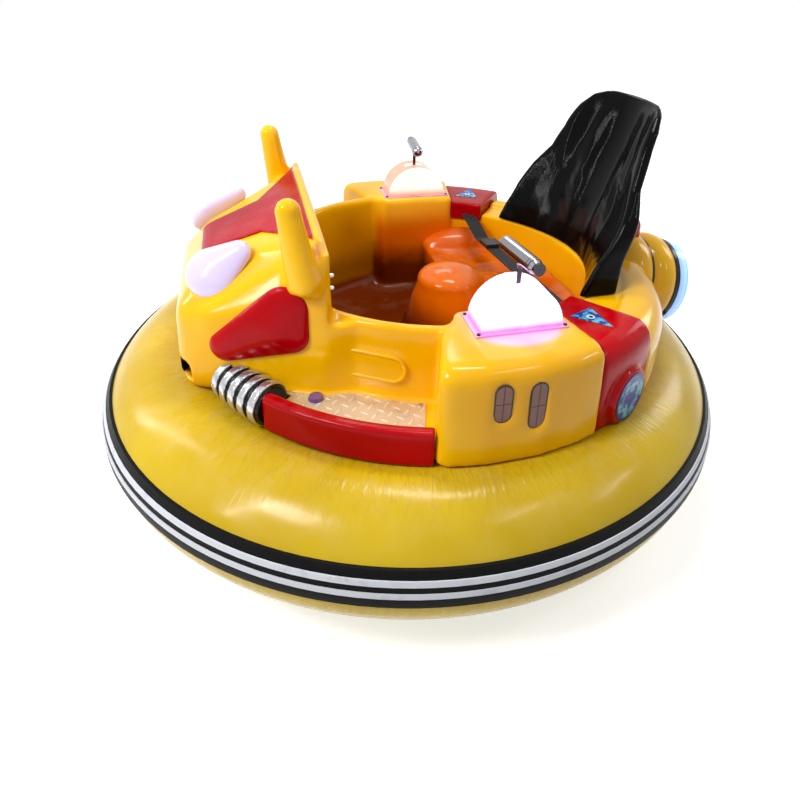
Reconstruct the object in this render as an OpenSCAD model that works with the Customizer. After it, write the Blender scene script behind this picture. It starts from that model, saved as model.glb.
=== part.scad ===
/* [Inflatable ring] */
// Outer diameter of the inflatable ring
ring_d = 1900; // [1700:10:2100]
// Width of the tube's section, measured outwards
tube_w = 400; // [340:10:440]
// Height of the tube's section
tube_h = 336; // [290:2:340]
// Height of the tube's middle above the floor
tube_z = 232; // [225:1:250]
// Radius of the tube's side rounding
tube_side_r = 130; // [110:5:150]
// Height of the rub band round the ring
band_h = 80; // [70:2:120]
// Thickness of the rub band
band_t = 7; // [4:0.5:12]
// Height of the band's middle above the tube's middle
band_lift = 40; // [0:2:50]
// Height of each grey stripe on the band
stripe_h = 12; // [10:1:20]
// Height between the middles of the two stripes
stripe_gap = 26; // [24:1:40]
// Height of the stripes' middle above the band's middle
stripe_lift = 4; // [0:1:8]

/* [Cockpit tub] */
// How far the body sits behind the ring's middle
body_back = 40; // [20:5:50]
// Inner radius of the cockpit tub
tub_r = 495; // [470:5:500]
// Thickness of the tub's double wall
tub_wall = 34; // [24:2:40]
// Height of the cockpit floor's top
floor_z = 300; // [290:5:310]
// Thickness of the tub's floor
floor_t = 12; // [8:1:16]
// Radius between the tub's floor and wall
tub_fillet = 60; // [40:5:70]
// Height of the tub's rolled rim
rim_z = 655; // [630:5:680]
// Height of the tub's rear edge, below the seat back
rear_rim_z = 600; // [580:5:620]
// Length of the raised pill panel on the tub's outside
pill_l = 190; // [140:5:220]
// Height of the raised pill panel
pill_h = 84; // [60:2:100]
// How far the pill panel stands out
pill_t = 6; // [3:0.5:10]

/* [Outer body] */
// Radius of the body's skirt on the ring
skirt_r = 732; // [715:1:740]
// Angle from the front to the step recess
step_a0 = 40; // [38:1:44]
// Angle from the front to the shoulder pod
step_a1 = 75; // [70:1:78]
// Height of the step's floor
step_z = 440; // [430:2:460]
// Thickness of the step's floor
step_t = 12; // [8:1:16]
// Thickness of the tread plate
tread_t = 3; // [2:0.5:5]
// Radial width of the sill bar
sill_w = 34; // [24:2:40]
// Height of the sill bar's top
sill_z = 496; // [480:2:520]

/* [Shoulder pods] */
// Height of the pods' top
pod_z = 658; // [640:2:680]
// Distance of a pod's inner face from the middle plane
pod_y = 435; // [420:5:450]
// Radius of a pod's upper edges
pod_edge = 48; // [30:2:60]
// Width of a side window
window_w = 46; // [30:2:60]
// Height of the front side window
window_h1 = 104; // [80:2:130]
// Height of the rear side window
window_h2 = 132; // [100:2:150]

/* [Drive levers] */
// Length of the lever cover's flange
flange_l = 246; // [220:2:260]
// Width of the lever cover's flange
flange_w = 124; // [110:2:130]
// Thickness of the flange
flange_t = 4; // [3:0.5:8]
// Radius of the half-round lever cover
cover_r = 110; // [90:1:115]
// Width of the lever cover
cover_w = 104; // [90:2:110]
// Wall of the lever cover
cover_t = 4; // [3:0.5:6]
// Width of the slot that the lever moves in
slot_w = 26; // [24:1:34]
// Radius of a lever's stem
stem_r = 6; // [5:0.5:8]
// Height of a lever's grip above its pivot
grip_z = 158; // [140:2:180]
// Length of a lever's grip
grip_l = 190; // [140:5:220]
// Radius of a lever's grip
grip_r = 20; // [15:1:24]
// Range of a lever forwards and backwards, degrees
lever_range = 12; // [6:1:15]

/* [Nose] */
// Length of the nose ahead of the cockpit panel
nose_l = 370; // [340:5:390]
// Angle that each side of the nose opens backwards
side_a = 23; // [15:1:28]
// How far the nose's front corners lie inside the skirt
side_in = 432; // [412:5:452]
// Height of the hood at its front
hood_front_z = 737; // [700:2:760]
// Height of the hood at the cockpit panel
hood_rear_z = 838; // [800:2:850]
// Thickness of the nose shell
nose_t = 16; // [10:1:24]
// Height of the ears' tops
ear_z = 964; // [900:2:1000]
// Radius of an ear's tip
ear_r = 31; // [24:1:38]
// How far the red panels stand out
panel_t = 7; // [4:0.5:12]
// How far the headlamps stand out
lens_t = 14; // [8:1:20]

/* [Seat] */
// Height of the seat pan
pan_z = 470; // [440:5:500]
// Height of the hump at the pan's front
hump_z = 575; // [540:5:600]
// Height of the seat back's top
back_z = 1132; // [1050:2:1180]
// Half width of the seat back's shoulders
back_top_y = 200; // [160:5:230]
// Half width of the seat back's foot
back_foot_y = 345; // [320:5:360]
// How far the seat back's top leans behind its foot
back_lean = 165; // [100:5:200]
// Height of the two ridges beside the back's channel
ridge_h = 16; // [6:1:24]
// Distance of each ridge from the middle plane
ridge_y = 86; // [60:2:110]
// Width of the seat belt
belt_w = 50; // [40:2:60]
// Thickness of the seat belt
belt_t = 3; // [2:0.5:4]

/* [Thruster] */
// Radius of the thruster's end
bell_r = 152; // [140:1:160]
// Length of the thruster
bell_l = 282; // [270:2:290]
// Downward tilt of the thruster, degrees
bell_tilt = 12; // [8:1:16]
// Height of the thruster's middle at its lens
bell_z = 446; // [440:1:470]
// Distance of the lens behind the ring's middle
bell_back = 925; // [900:5:940]

/* [Chassis and wheels] */
// Height of the chassis pan's underside
pan_bottom = 150; // [140:2:160]
// Thickness of the chassis pan
pan_t = 6; // [4:1:10]
// Radius of the chassis pan's inner part
pan_r = 505; // [480:5:520]
// Radius of a drive wheel
drive_r = 100; // [90:1:110]
// Width of a drive wheel
drive_w = 50; // [40:2:60]
// Distance of a drive wheel from the middle plane
drive_y = 330; // [300:5:360]
// Distance of the drive wheels behind the ring's middle
drive_back = 60; // [40:5:100]
// Radius of a drive wheel's axle
drive_axle_r = 12; // [8:1:15]
// Radius of a castor wheel
castor_r = 45; // [40:1:48]
// Width of a castor wheel
castor_w = 32; // [26:1:40]
// Trail of a castor
castor_trail = 32; // [20:1:40]
// Distance of the front castor ahead of the ring's middle
castor_front = 400; // [360:5:430]
// Distance of the rear castor behind the ring's middle
castor_rear = 430; // [360:5:440]
// Running clearance of each bore, on the radius
running = 0.05; // [0.02:0.01:0.1]

/* [Hidden] */
fine = 96;
coarse = 24;
gap = 0.3;

ring_r = ring_d / 2;
stripe_t = 2.5;
lens_r = 262;
lens_in = 210;
// The widest of the band and its stripes, and the lens's tip: the origin is midway between them
stripe_low = band_lift + stripe_lift - (stripe_gap + stripe_h) / 2;
ring_front = ring_r - tube_side_r + sqrt(pow(tube_side_r + band_t + stripe_t, 2) - pow(max(0, stripe_low), 2));
ring_x = (ring_front - bell_back + lens_in * cos(bell_tilt) - lens_r) / 2;
body_x = ring_x + body_back;
drive_x = ring_x + drive_back;
bell_x = ring_x + bell_back;
skirt_z = tube_z + tube_h / 2 + gap;
tube_r = ring_r - tube_w / 2;
tub_out = tub_r + tub_wall;
sill_r0 = skirt_r - sill_w;
dash_x = body_x - 390;
nose_x = dash_x - nose_l;
lever_x = body_x + 65;
lever_y = 520;
flange_z = pod_z;
deck_z = 612;
wrap_z = 640;
wrap_a0 = 109.5;
wrap_a1 = 128;
band_z = tube_z + band_lift;

// The shape on the car's left side, and the same shape mirrored to the right side
module both() {
    children();
    mirror([0, 1, 0]) children();
}

// Places a shape in the ring's own middle
module ring() {
    translate([ring_x, 0, 0]) children();
}

// Places a shape in the body's own middle
module body() {
    translate([body_x, 0, 0]) children();
}

// A sector of a turned profile on the left side, its angles counted from the front
module sector(a0, a1) {
    rotate_extrude(angle = a1 - a0, start = 180 + a0, $fn = fine) children();
}

// Radius of the tube section's flat arcs from their tangency with the side arcs
side_off = tube_w / 2 - tube_side_r;
flat_r = (side_off * side_off + tube_h * tube_h / 4 - tube_side_r * tube_side_r) / (tube_h - 2 * tube_side_r);
flat_drop = flat_r - tube_h / 2;

// The tube's section: two side arcs and two flatter arcs that run into them
module tube_section(grow = 0) {
    join_x = side_off * flat_r / (flat_r - tube_side_r);
    for (i = [-1, 1]) translate([i * side_off, 0]) circle(r = tube_side_r + grow, $fn = fine);
    intersection() {
        translate([0, -flat_drop]) circle(r = flat_r + grow, $fn = 2 * fine);
        translate([0, flat_drop]) circle(r = flat_r + grow, $fn = 2 * fine);
        square([2 * join_x, tube_h + 4 * grow], center = true);
    }
}

module bumper_ring() {
    color("gold")
    difference() {
        ring() rotate_extrude($fn = fine) translate([tube_r, tube_z]) tube_section();
        bell_room(gap + 0.7);
    }
}

// The strip of the band's section between two heights, on the tube's outside
module band_ring(z, h, t0, t1) {
    ring() rotate_extrude($fn = 2 * fine)
    intersection() {
        difference() {
            translate([tube_r, tube_z]) tube_section(t1);
            translate([tube_r, tube_z]) tube_section(t0);
        }
        translate([tube_r + tube_w / 4, z - h / 2]) square([tube_w, h]);
    }
}

module rub_band() {
    color("black") band_ring(band_z, band_h, gap, band_t);
}

module band_stripes() {
    color("lightgrey")
    for (i = [-1, 1]) band_ring(band_z + stripe_lift + i * stripe_gap / 2, stripe_h, band_t + gap, band_t + stripe_t);
}

// Pressed pan: a raised middle, a sloping wall and a lip below the ring, with six posts for the tub
lip_z = tube_z - tube_h / 2 + 30;
lip_rise = tube_z - lip_z - pan_t - gap + flat_drop;
lip_out = tube_r - sqrt(flat_r * flat_r - lip_rise * lip_rise);
module chassis_pan() {
    slot_w2 = drive_w / 2 + leg_gap + leg_t + 2;
    slot_l = 2 * sqrt(drive_r * drive_r - (pan_bottom - drive_r) * (pan_bottom - drive_r)) + 40;
    color("dimgray") {
        difference() {
            ring() rotate_extrude($fn = fine)
            polygon([[0, pan_bottom], [pan_r, pan_bottom], [pan_r + 22, lip_z], [lip_out, lip_z],
                     [lip_out, lip_z + pan_t], [pan_r + 26, lip_z + pan_t],
                     [pan_r + 4, pan_bottom + pan_t], [0, pan_bottom + pan_t]]);
            both() translate([drive_x - slot_l / 2, -drive_y - slot_w2, pan_bottom - 5])
            cube([slot_l, 2 * slot_w2, pan_t + 10]);
        }
        for (a = [0:60:300]) body() rotate(a) translate([390, 0, pan_bottom + 1])
        cylinder(r = 14, h = floor_z - floor_t - pan_bottom - 1 - gap, $fn = 32);
    }
}

module underglow_strip() {
    color("turquoise")
    ring() rotate_extrude($fn = fine)
    translate([lip_out - 26, lip_z - 9]) square([16, 9 - gap]);
}

module battery_block() {
    color("darkslategray")
    translate([body_x + 80, -190, pan_bottom + pan_t + gap])
    cube([280, 380, floor_z - floor_t - pan_bottom - pan_t - 2 * gap - 2]);
}

leg_t = 8;
leg_gap = 7;
module drive_bracket() {
    leg_y = drive_w / 2 + leg_gap;
    top_z = 2 * drive_r + 12;
    foot = 26;
    translate([drive_x, -drive_y, 0]) {
        for (i = [-1, 1]) {
            // Leg with a rounded foot round the axle
            translate([0, i * (leg_y + leg_t / 2), 0]) {
                translate([-30, -leg_t / 2, drive_r]) cube([60, leg_t, top_z - drive_r]);
                translate([0, leg_t / 2, drive_r]) rotate([90, 0, 0])
                cylinder(r = 30, h = leg_t, $fn = 48);
            }
            translate([-30, i > 0 ? leg_y + leg_t : -leg_y - leg_t - foot, pan_bottom + pan_t])
            cube([60, foot, 6]);
        }
        translate([-30, -leg_y - leg_t, top_z]) cube([60, 2 * (leg_y + leg_t), 8]);
        // Fixed axle with a shoulder at each leg
        translate([0, leg_y + leg_t + 10, drive_r]) rotate([90, 0, 0])
        cylinder(r = drive_axle_r, h = 2 * (leg_y + leg_t + 10), $fn = 48);
    }
}

module drive_brackets() {
    color("slategray") both() drive_bracket();
}

// Hub motor shell with a bored middle and five shallow pockets in its outer face
module drive_hub() {
    hub_r = drive_r - 32;
    translate([drive_x, -drive_y, drive_r]) rotate([90, 0, 0])
    difference() {
        union() {
            cylinder(r = hub_r, h = drive_w - 8, center = true, $fn = fine);
            cylinder(r = 24, h = drive_w + 8, center = true, $fn = 48);
        }
        cylinder(r = drive_axle_r + running, h = drive_w + 20, center = true, $fn = 48);
        for (i = [0:4]) rotate(i * 72 + 18) translate([44, 0, drive_w / 2 - 10])
        cylinder(r = 11, h = 20, $fn = 32);
    }
}

module drive_hub_left() {
    color("silver") drive_hub();
}

module drive_hub_right() {
    color("silver") mirror([0, 1, 0]) drive_hub();
}

module drive_tyre() {
    translate([drive_x, -drive_y, drive_r]) rotate([90, 0, 0])
    rotate_extrude($fn = fine)
    difference() {
        union() {
            translate([drive_r - 32 + gap, -drive_w / 2]) square([22 - gap, drive_w]);
            translate([drive_r - 12, -drive_w / 2 + 10]) square([12, drive_w - 20]);
            for (i = [-1, 1]) translate([drive_r - 10, i * (drive_w / 2 - 10)]) circle(r = 10, $fn = 32);
        }
        for (i = [-1, 1]) translate([drive_r, i * 8]) circle(r = 2.5, $fn = 16);
    }
}

module drive_tyre_left() {
    color("black") drive_tyre();
}

module drive_tyre_right() {
    color("black") mirror([0, 1, 0]) drive_tyre();
}

castor_xs = [ring_x - castor_front, ring_x + castor_rear];
head_t = 5;
fork_top = pan_bottom - head_t - 4;
pin_r = 9;
wheel_pin_r = 5;

module castor_heads() {
    color("silver")
    for (x = castor_xs) translate([x, 0, 0]) {
        translate([-42, -36, pan_bottom - head_t]) cube([84, 72, head_t]);
        translate([0, 0, fork_top - 22]) cylinder(r = pin_r, h = pan_bottom - fork_top + 20, $fn = 48);
        translate([0, 0, fork_top - 25]) cylinder(r = pin_r + 5, h = 4, $fn = 48);
    }
}

module castor_fork(x) {
    cheek_t = 4;
    cheek_y = castor_w / 2 + 5;
    translate([x, 0, 0]) {
        difference() {
            translate([0, 0, fork_top - 20]) cylinder(r = 30, h = 20 - 1, $fn = fine);
            translate([0, 0, fork_top - 30]) cylinder(r = pin_r + running, h = 40, $fn = 48);
            translate([0, 0, fork_top - 21]) cylinder(r = pin_r + 6, h = 1.2, $fn = 48);
        }
        for (i = [-1, 1]) translate([0, i * (cheek_y + cheek_t / 2), 0]) rotate([90, 0, 0])
        linear_extrude(cheek_t, center = true)
        difference() {
            polygon([[-20, fork_top - 6], [24, fork_top - 6], [castor_trail + 16, castor_r],
                     [castor_trail + 11, castor_r - 12], [castor_trail - 11, castor_r - 12],
                     [castor_trail - 18, castor_r], [-20, fork_top - 16]]);
            translate([castor_trail, castor_r]) circle(r = wheel_pin_r, $fn = 32);
        }
        // Axle pressed into both cheeks
        translate([castor_trail, cheek_y + cheek_t + 3, castor_r]) rotate([90, 0, 0])
        cylinder(r = wheel_pin_r, h = 2 * (cheek_y + cheek_t + 3), $fn = 32);
    }
}

module castor_fork_front() {
    color("silver") castor_fork(castor_xs[0]);
}

module castor_fork_rear() {
    color("silver") castor_fork(castor_xs[1]);
}

module castor_wheel(x) {
    translate([x + castor_trail, 0, castor_r]) rotate([90, 0, 0])
    rotate_extrude($fn = fine)
    difference() {
        union() {
            translate([wheel_pin_r + running, -castor_w / 2]) square([9, castor_w]);
            translate([wheel_pin_r + 6, -castor_w / 4]) square([castor_r - wheel_pin_r - 18, castor_w / 2]);
            translate([castor_r - 14, -castor_w / 2 + 2]) square([9, castor_w - 4]);
            translate([castor_r - 8, -castor_w / 2 + 6]) square([8, castor_w - 12]);
            for (i = [-1, 1]) translate([castor_r - 5, i * (castor_w / 2 - 7)]) circle(r = 5, $fn = 32);
        }
    }
}

module castor_wheel_front() {
    color("dimgray") castor_wheel(castor_xs[0]);
}

module castor_wheel_rear() {
    color("dimgray") castor_wheel(castor_xs[1]);
}

// Profile of the tub: floor, rounded corner, double wall and rolled rim
module tub_profile() {
    r0 = tub_r;
    f = tub_fillet;
    square_r = tub_out - tub_r;
    translate([0, floor_z - floor_t]) square([r0 - f, floor_t]);
    intersection() {
        translate([r0 - f, floor_z + f]) difference() {
            circle(r = f + floor_t, $fn = fine);
            circle(r = f, $fn = fine);
        }
        translate([r0 - f, floor_z - floor_t]) square([f + floor_t, f + floor_t]);
    }
    translate([r0, floor_z + f]) square([floor_t, skirt_z - floor_z - f + 1]);
    translate([r0, skirt_z]) square([square_r, rim_z - skirt_z - square_r / 2]);
    translate([r0 + square_r / 2, rim_z - square_r / 2]) circle(r = square_r / 2, $fn = 48);
}

module cockpit_tub() {
    color("orange")
    difference() {
        body() union() {
            rotate_extrude($fn = fine) tub_profile();
            both() pill_panel();
        }
        both() pod_room(0);
        both() wrap_room(0);
        rear_cut();
    }
}

// Raised pill on the outside of the tub, above the step
module pill_panel() {
    a = (step_a0 + step_a1) / 2;
    intersection() {
        translate([0, 0, step_z + 30]) difference() {
            cylinder(r = tub_out + pill_t, h = 200, $fn = fine);
            translate([0, 0, -1]) cylinder(r = tub_out - 1, h = 202, $fn = fine);
        }
        rotate(180 + a) translate([0, 0, step_z + 44 + pill_h / 2]) rotate([90, 0, 90]) {
            linear_extrude(tub_out + 50)
            union() {
                square([pill_l - pill_h, pill_h], center = true);
                for (i = [-1, 1]) translate([i * (pill_l - pill_h) / 2, 0]) circle(r = pill_h / 2, $fn = 48);
            }
        }
    }
}

// Everything above the tub's rear edge, where the seat back stands
module rear_cut() {
    body() translate([0, 0, rear_rim_z])
    rotate_extrude(angle = 2 * (180 - wrap_a1), start = wrap_a1 - 180, $fn = fine)
    translate([tub_r - 20, 0]) square([90, 200]);
}

// The nose's sides are upright planes; each starts at its front corner and opens backwards
corner_back = 83;
side_x = nose_x + corner_back;
side_y = skirt_r - side_in;
dash_y = side_y + (dash_x - side_x) * tan(side_a);

// Corner balls of the nose: x from the front, y, z, radius
nose_balls = [
    [80, 205, skirt_z + 55, 80],
    [85, 195, 590, 80],
    [122, 135, hood_front_z - 50, 50],
    [nose_l + 15, 300, hood_rear_z - 47, 47]
];

// Balls that touch the side plane: distance along it, z, radius
side_balls = [
    [20, skirt_z + 55, 60],
    [15, 622, 48],
    [300, skirt_z + 55, 50],
    [300, 700, 50]
];

module nose_form(grow, facets = coarse) {
    translate([nose_x, 0, 0]) hull() for (s = [-1, 1]) {
        for (b = nose_balls) translate([b[0], s * b[1], b[2]])
        sphere(r = b[3] + grow, $fn = facets);
        for (b = side_balls)
        translate([corner_back + b[0] * cos(side_a) + b[2] * sin(side_a),
                   s * (side_y + b[0] * sin(side_a) - b[2] * cos(side_a)), b[1]])
        sphere(r = b[2] + grow, $fn = facets);
    }
}

// The floor space that the nose takes on the left side, seen from above
module nose_plan(grow) {
    translate([side_x, -side_y]) rotate(-side_a) translate([-150, -grow]) square([500, 400]);
}

module nose_room(grow) {
    translate([0, 0, skirt_z - 10]) linear_extrude(340) intersection() {
        nose_plan(grow);
        translate([nose_x, -600]) square([dash_x + grow - nose_x, 600]);
    }
}

// Places a shape on the left side plane: x along it, y up and z outwards, from its front corner
module on_side() {
    translate([side_x, -side_y, 0]) rotate(-side_a) rotate([90, 0, 0]) children();
}

module nose_cut(x1) {
    translate([nose_x - 100, -600, skirt_z]) cube([x1 - nose_x + 100, 1200, 700]);
}

// A round bar between two radii, with a ball at each end
module capsule(r1, r2, h) {
    b = asin((r1 - r2) / h);
    sphere(r = r1, $fn = 48);
    translate([0, 0, r1 * sin(b)]) cylinder(r1 = r1 * cos(b), r2 = r2 * cos(b), h = h - (r1 - r2) * sin(b), $fn = 48);
    translate([0, 0, h]) sphere(r = r2, $fn = 48);
}

ear_y = 374;
ear_foot = 680;
ear_lean = 7;
module ear(grow = 0) {
    translate([dash_x - 46, -ear_y, ear_foot]) rotate([0, -ear_lean, 0])
    capsule(ear_r + 10 + grow, ear_r + grow, (ear_z - ear_r - ear_foot) / cos(ear_lean));
}

module nose_shell() {
    color("yellow")
    difference() {
        union() {
            intersection() {
                nose_form(0);
                nose_cut(dash_x);
            }
            both() intersection() {
                ear();
                nose_cut(dash_x + 20);
            }
        }
        intersection() {
            nose_form(-nose_t, 12);
            translate([nose_x - 100, -600, skirt_z - 1]) cube([nose_l + 100 + 1, 1200, 700]);
        }
        body() translate([0, 0, skirt_z - 1]) cylinder(r = tub_out + gap, h = rim_z - skirt_z + 4, $fn = fine);
        both() grille_room(0);
    }
}

// A red trapezoid over the middle of the hood
module hood_panel() {
    color("crimson")
    difference() {
        intersection() {
            nose_form(panel_t);
            translate([0, 0, hood_front_z - 44]) linear_extrude(200)
            polygon([[nose_x + 76, -98], [nose_x + 235, -128], [dash_x - 70, -225], [dash_x - 14, -315],
                     [dash_x - 14, 315], [dash_x - 70, 225], [nose_x + 235, 128], [nose_x + 76, 98]]);
        }
        nose_form(gap);
        both() ear(gap);
    }
}

// Headlamp: a drop outline on the bevelled corner, crowned by a ball
lamp_c = [nose_x + 107, -222, 730];
lamp_out = 24;
lamp_r = 150;
module on_lamp() {
    translate(lamp_c) rotate([0, 0, 58]) rotate([0, -60, 0]) rotate([0, 0, 90]) children();
}

module lamp_outline() {
    for (c = [[-52, 6, 34], [62, 22, 20], [-24, -34, 26], [6, 8, 40]]) translate([c[0], c[1]]) circle(r = c[2], $fn = 48);
    polygon([[-54, 40], [64, 42], [82, 20], [70, 3], [-6, -55], [-40, -55], [-78, -16], [-86, 6]]);
}

module headlamps() {
    color("lavender")
    difference() {
        both() on_lamp() intersection() {
            translate([0, 0, -50]) linear_extrude(100) lamp_outline();
            translate([0, 0, lamp_out - lamp_r]) rotate([90, 0, 0]) sphere(r = lamp_r, $fn = fine);
        }
        nose_form(gap);
    }
}

// Rounded triangle on each side of the nose, its edges bevelled
cheek_t = 16;
cheek_pts = [[42, 588, 26], [226, 676, 44], [232, 590, 34]];
module cheek_panels() {
    color("firebrick")
    both() difference() {
        on_side() translate([0, 0, gap]) hull()
        for (c = cheek_pts) translate([c[0], c[1]]) {
            cylinder(r = c[2], h = cheek_t / 2, $fn = 32);
            cylinder(r = c[2] - 7, h = cheek_t, $fn = 32);
        }
        ear(gap);
    }
}

// Slot low at the front corner of the nose
module grille_room(grow) {
    translate([nose_x + 14, -225, skirt_z + 52]) rotate([0, 0, 62])
    cube([120 - 2 * grow, 60 - 2 * grow, 50 - 2 * grow], center = true);
}

module nose_grilles() {
    color("black")
    both() difference() {
        intersection() {
            nose_form(-3);
            grille_room(gap);
        }
        translate([nose_x + 14, -225, skirt_z + 52]) rotate([0, 0, 62]) {
            translate([0, -18, 0]) cube([130, 60, 60], center = true);
            for (i = [-2:2]) translate([0, 30, i * 10]) cube([100, 30, 4], center = true);
        }
    }
}

module dash_panel() {
    // Half width of the part that dips into the tub, 10 mm inside its wall
    notch_y = sqrt(pow(tub_r, 2) - pow(body_x - dash_x, 2)) - 10;
    color("darkorange")
    difference() {
        translate([dash_x + gap, 0, 0]) rotate([90, 0, 90]) linear_extrude(14)
        polygon([[-dash_y + 12, rim_z + gap], [-notch_y, rim_z + gap], [-notch_y, 596], [notch_y, 596],
                 [notch_y, rim_z + gap],
                 [dash_y - 12, rim_z + gap], [dash_y - 12, 700], [dash_y - 30, 742], [315, hood_rear_z - 6],
                 [-315, hood_rear_z - 6], [-dash_y + 30, 742], [-dash_y + 12, 700]]);
        translate([dash_x + 10, -200, 706]) cube([10, 400, 22]);
        both() ear(gap);
    }
}

bellows_r = 58;
bellows_c = skirt_r - 36;

// The space in front of the sill bar that the bellows take
module bellows_room(grow) {
    sector(step_a0 - 8, step_a0 + 0.1)
    translate([bellows_c - bellows_r - grow, skirt_z - 1]) square([3 * bellows_r, 3 * bellows_r]);
}

// Step recess: its floor and the lip that the sill bar covers
module step_box() {
    difference() {
        body() sector(step_a0 - 6, step_a1)
        union() {
            translate([tub_out + gap, step_z - step_t]) square([sill_r0 - tub_out - 2 * gap, step_t]);
            translate([sill_r0 - 14 - gap, skirt_z]) square([14, step_z - skirt_z]);
            translate([tub_out + gap, skirt_z]) square([14, step_z - skirt_z]);
        }
        nose_room(gap);
        pod_room(gap);
        body() bellows_room(gap);
    }
}

module step_recesses() {
    color("gold") both() step_box();
}

module step_plates() {
    color("silver")
    both() body() difference() {
        sector(step_a0 - 4, step_a1 - 2)
        translate([tub_out + 14, step_z + gap]) square([sill_r0 - tub_out - 26, tread_t]);
        for (a = [step_a0 + 6, step_a1 - 3.5], r = [tub_out + 24, sill_r0 - 22])
        rotate(180 + a) translate([r, 0, step_z - 1]) cylinder(r = 3, h = 20, $fn = 24);
        translate([-body_x, 0, 0]) nose_room(6);
        bellows_room(4);
    }
}

module step_buttons() {
    color("purple")
    both() body() rotate(180 + step_a0 + 5.5)
    translate([tub_out + 80, 0, step_z + tread_t + 2 * gap]) cylinder(r1 = 21, r2 = 17, h = 9, $fn = 48);
}

module sill_bars() {
    color("red")
    both() difference() {
        body() sector(step_a0, step_a1) sill_profile();
        pod_room(gap);
    }
}

module sill_profile() {
    union() {
        translate([sill_r0, skirt_z]) square([sill_w, sill_z - skirt_z - 8]);
        translate([sill_r0 + 8, sill_z - 10]) square([sill_w - 16, 10]);
        for (r = [sill_r0 + 8, skirt_r - 8]) translate([r, sill_z - 8]) circle(r = 8, $fn = 32);
    }
}

// Fluted bellows along the ring, from the sill bar into the nose's side
bellows_n = 5;
bellows_a0 = step_a0 - 15;
bellows_a1 = step_a0 - 0.04;
flute_a = 1.7;
module bellows_arc(a0, a1, r) {
    sector(a0, a1) difference() {
        translate([bellows_c, skirt_z + bellows_r - 8]) circle(r = r, $fn = fine);
        translate([skirt_r - 2 * bellows_r, skirt_z - 2 * bellows_r]) square([4 * bellows_r, 2 * bellows_r]);
    }
}

module sill_bellows() {
    pitch = (bellows_a1 - bellows_a0) / bellows_n;
    color("silver")
    both() difference() {
        body() {
            bellows_arc(bellows_a0, bellows_a1, bellows_r - 9);
            for (i = [0:bellows_n - 1])
            bellows_arc(bellows_a0 + (i + 0.5) * pitch - flute_a / 2, bellows_a0 + (i + 0.5) * pitch + flute_a / 2, bellows_r);
        }
        nose_room(gap);
    }
}

// Plan of a pod, with the room that it takes from the tub
pod_front = [body_x - skirt_r * cos(step_a1), -skirt_r * sin(step_a1)];
pod_rear = [body_x - skirt_r * cos(wrap_a0), -skirt_r * sin(wrap_a0)];
module pod_plan(grow) {
    polygon([[body_x - 64 - grow, -pod_y + grow], [body_x + 196 + grow, -pod_y + grow],
             [pod_rear[0] + 6 + grow, pod_rear[1] - 40], [pod_rear[0] + 6 + grow, -900],
             [pod_front[0] - 14 - grow, -900], [pod_front[0] - 14 - grow, pod_front[1] - 40],
             [body_x - 136 - grow, -540]]);
}

module pod_room(grow) {
    translate([0, 0, floor_z + gap]) linear_extrude(600) pod_plan(grow);
}

module pod() {
    e = pod_edge;
    intersection() {
        union() {
            hull() for (a = [step_a1 + 3, 84, 95, 104, wrap_a0 + 2]) {
                body() rotate(180 + a) translate([skirt_r - e, 0, pod_z - e]) sphere(r = e, $fn = coarse);
                body() rotate(180 + a) translate([skirt_r - e + 8, 0, skirt_z]) cylinder(r = e, h = 30, $fn = coarse);
                body() rotate(180 + a) translate([tub_r - 80, 0, skirt_z]) cylinder(r = e, h = pod_z - skirt_z, $fn = coarse);
            }
            body() translate([0, 0, floor_z + gap]) intersection() {
                cylinder(r = tub_out, h = skirt_z - floor_z, $fn = fine);
                translate([-240, -600, 0]) cube([500, 600, 300]);
            }
        }
        pod_room(-gap);
        translate([-500, -1000, floor_z + gap]) cube([1000, 1000, pod_z - floor_z - gap]);
    }
}

module shoulder_pods() {
    color("yellow") both() difference() {
        pod();
        window_rooms(0);
        ring_room();
    }
}

// Keeps the body's lower parts off the ring's inside
module ring_room() {
    ring() rotate_extrude($fn = fine) translate([tube_r, tube_z]) tube_section(gap);
}

// Oblong windows: angle from the front, height of the middle, height
window_table = [[87, 568, window_h1], [94, 548, window_h2]];
module window_rooms(grow, depth = 60) {
    for (w = window_table) body() rotate(180 + w[0]) translate([skirt_r - 12 - grow, 0, w[1]])
    rotate([90, 0, 90]) linear_extrude(depth)
    union() {
        square([window_w + 2 * grow, w[2] - window_w], center = true);
        for (i = [-1, 1]) translate([0, i * (w[2] - window_w) / 2]) circle(r = window_w / 2 + grow, $fn = 48);
    }
}

module side_windows() {
    color("thistle")
    both() window_rooms(-gap, 9);
}

// Half-round cover with a slot at its top
module lever_cover() {
    translate([lever_x, -lever_y, flange_z + flange_t + 2 * gap]) difference() {
        intersection() {
            rotate([90, 0, 0]) cylinder(r = cover_r, h = cover_w, center = true, $fn = fine);
            translate([-cover_r - 1, -cover_w, 0]) cube([2 * cover_r + 2, 2 * cover_w, cover_r + 2]);
        }
        intersection() {
            rotate([90, 0, 0]) cylinder(r = cover_r - cover_t, h = cover_w - 2 * cover_t, center = true, $fn = fine);
            translate([-cover_r - 1, -cover_w, -1]) cube([2 * cover_r + 2, 2 * cover_w, cover_r + 2]);
        }
        slot_l = 2 * (cover_r * sin(lever_range) + stem_r + 7);
        translate([-slot_l / 2, -slot_w / 2, cover_r - 30]) cube([slot_l, slot_w, 60]);
    }
}

module lever_covers() {
    color("pink") both() lever_cover();
}

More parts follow.
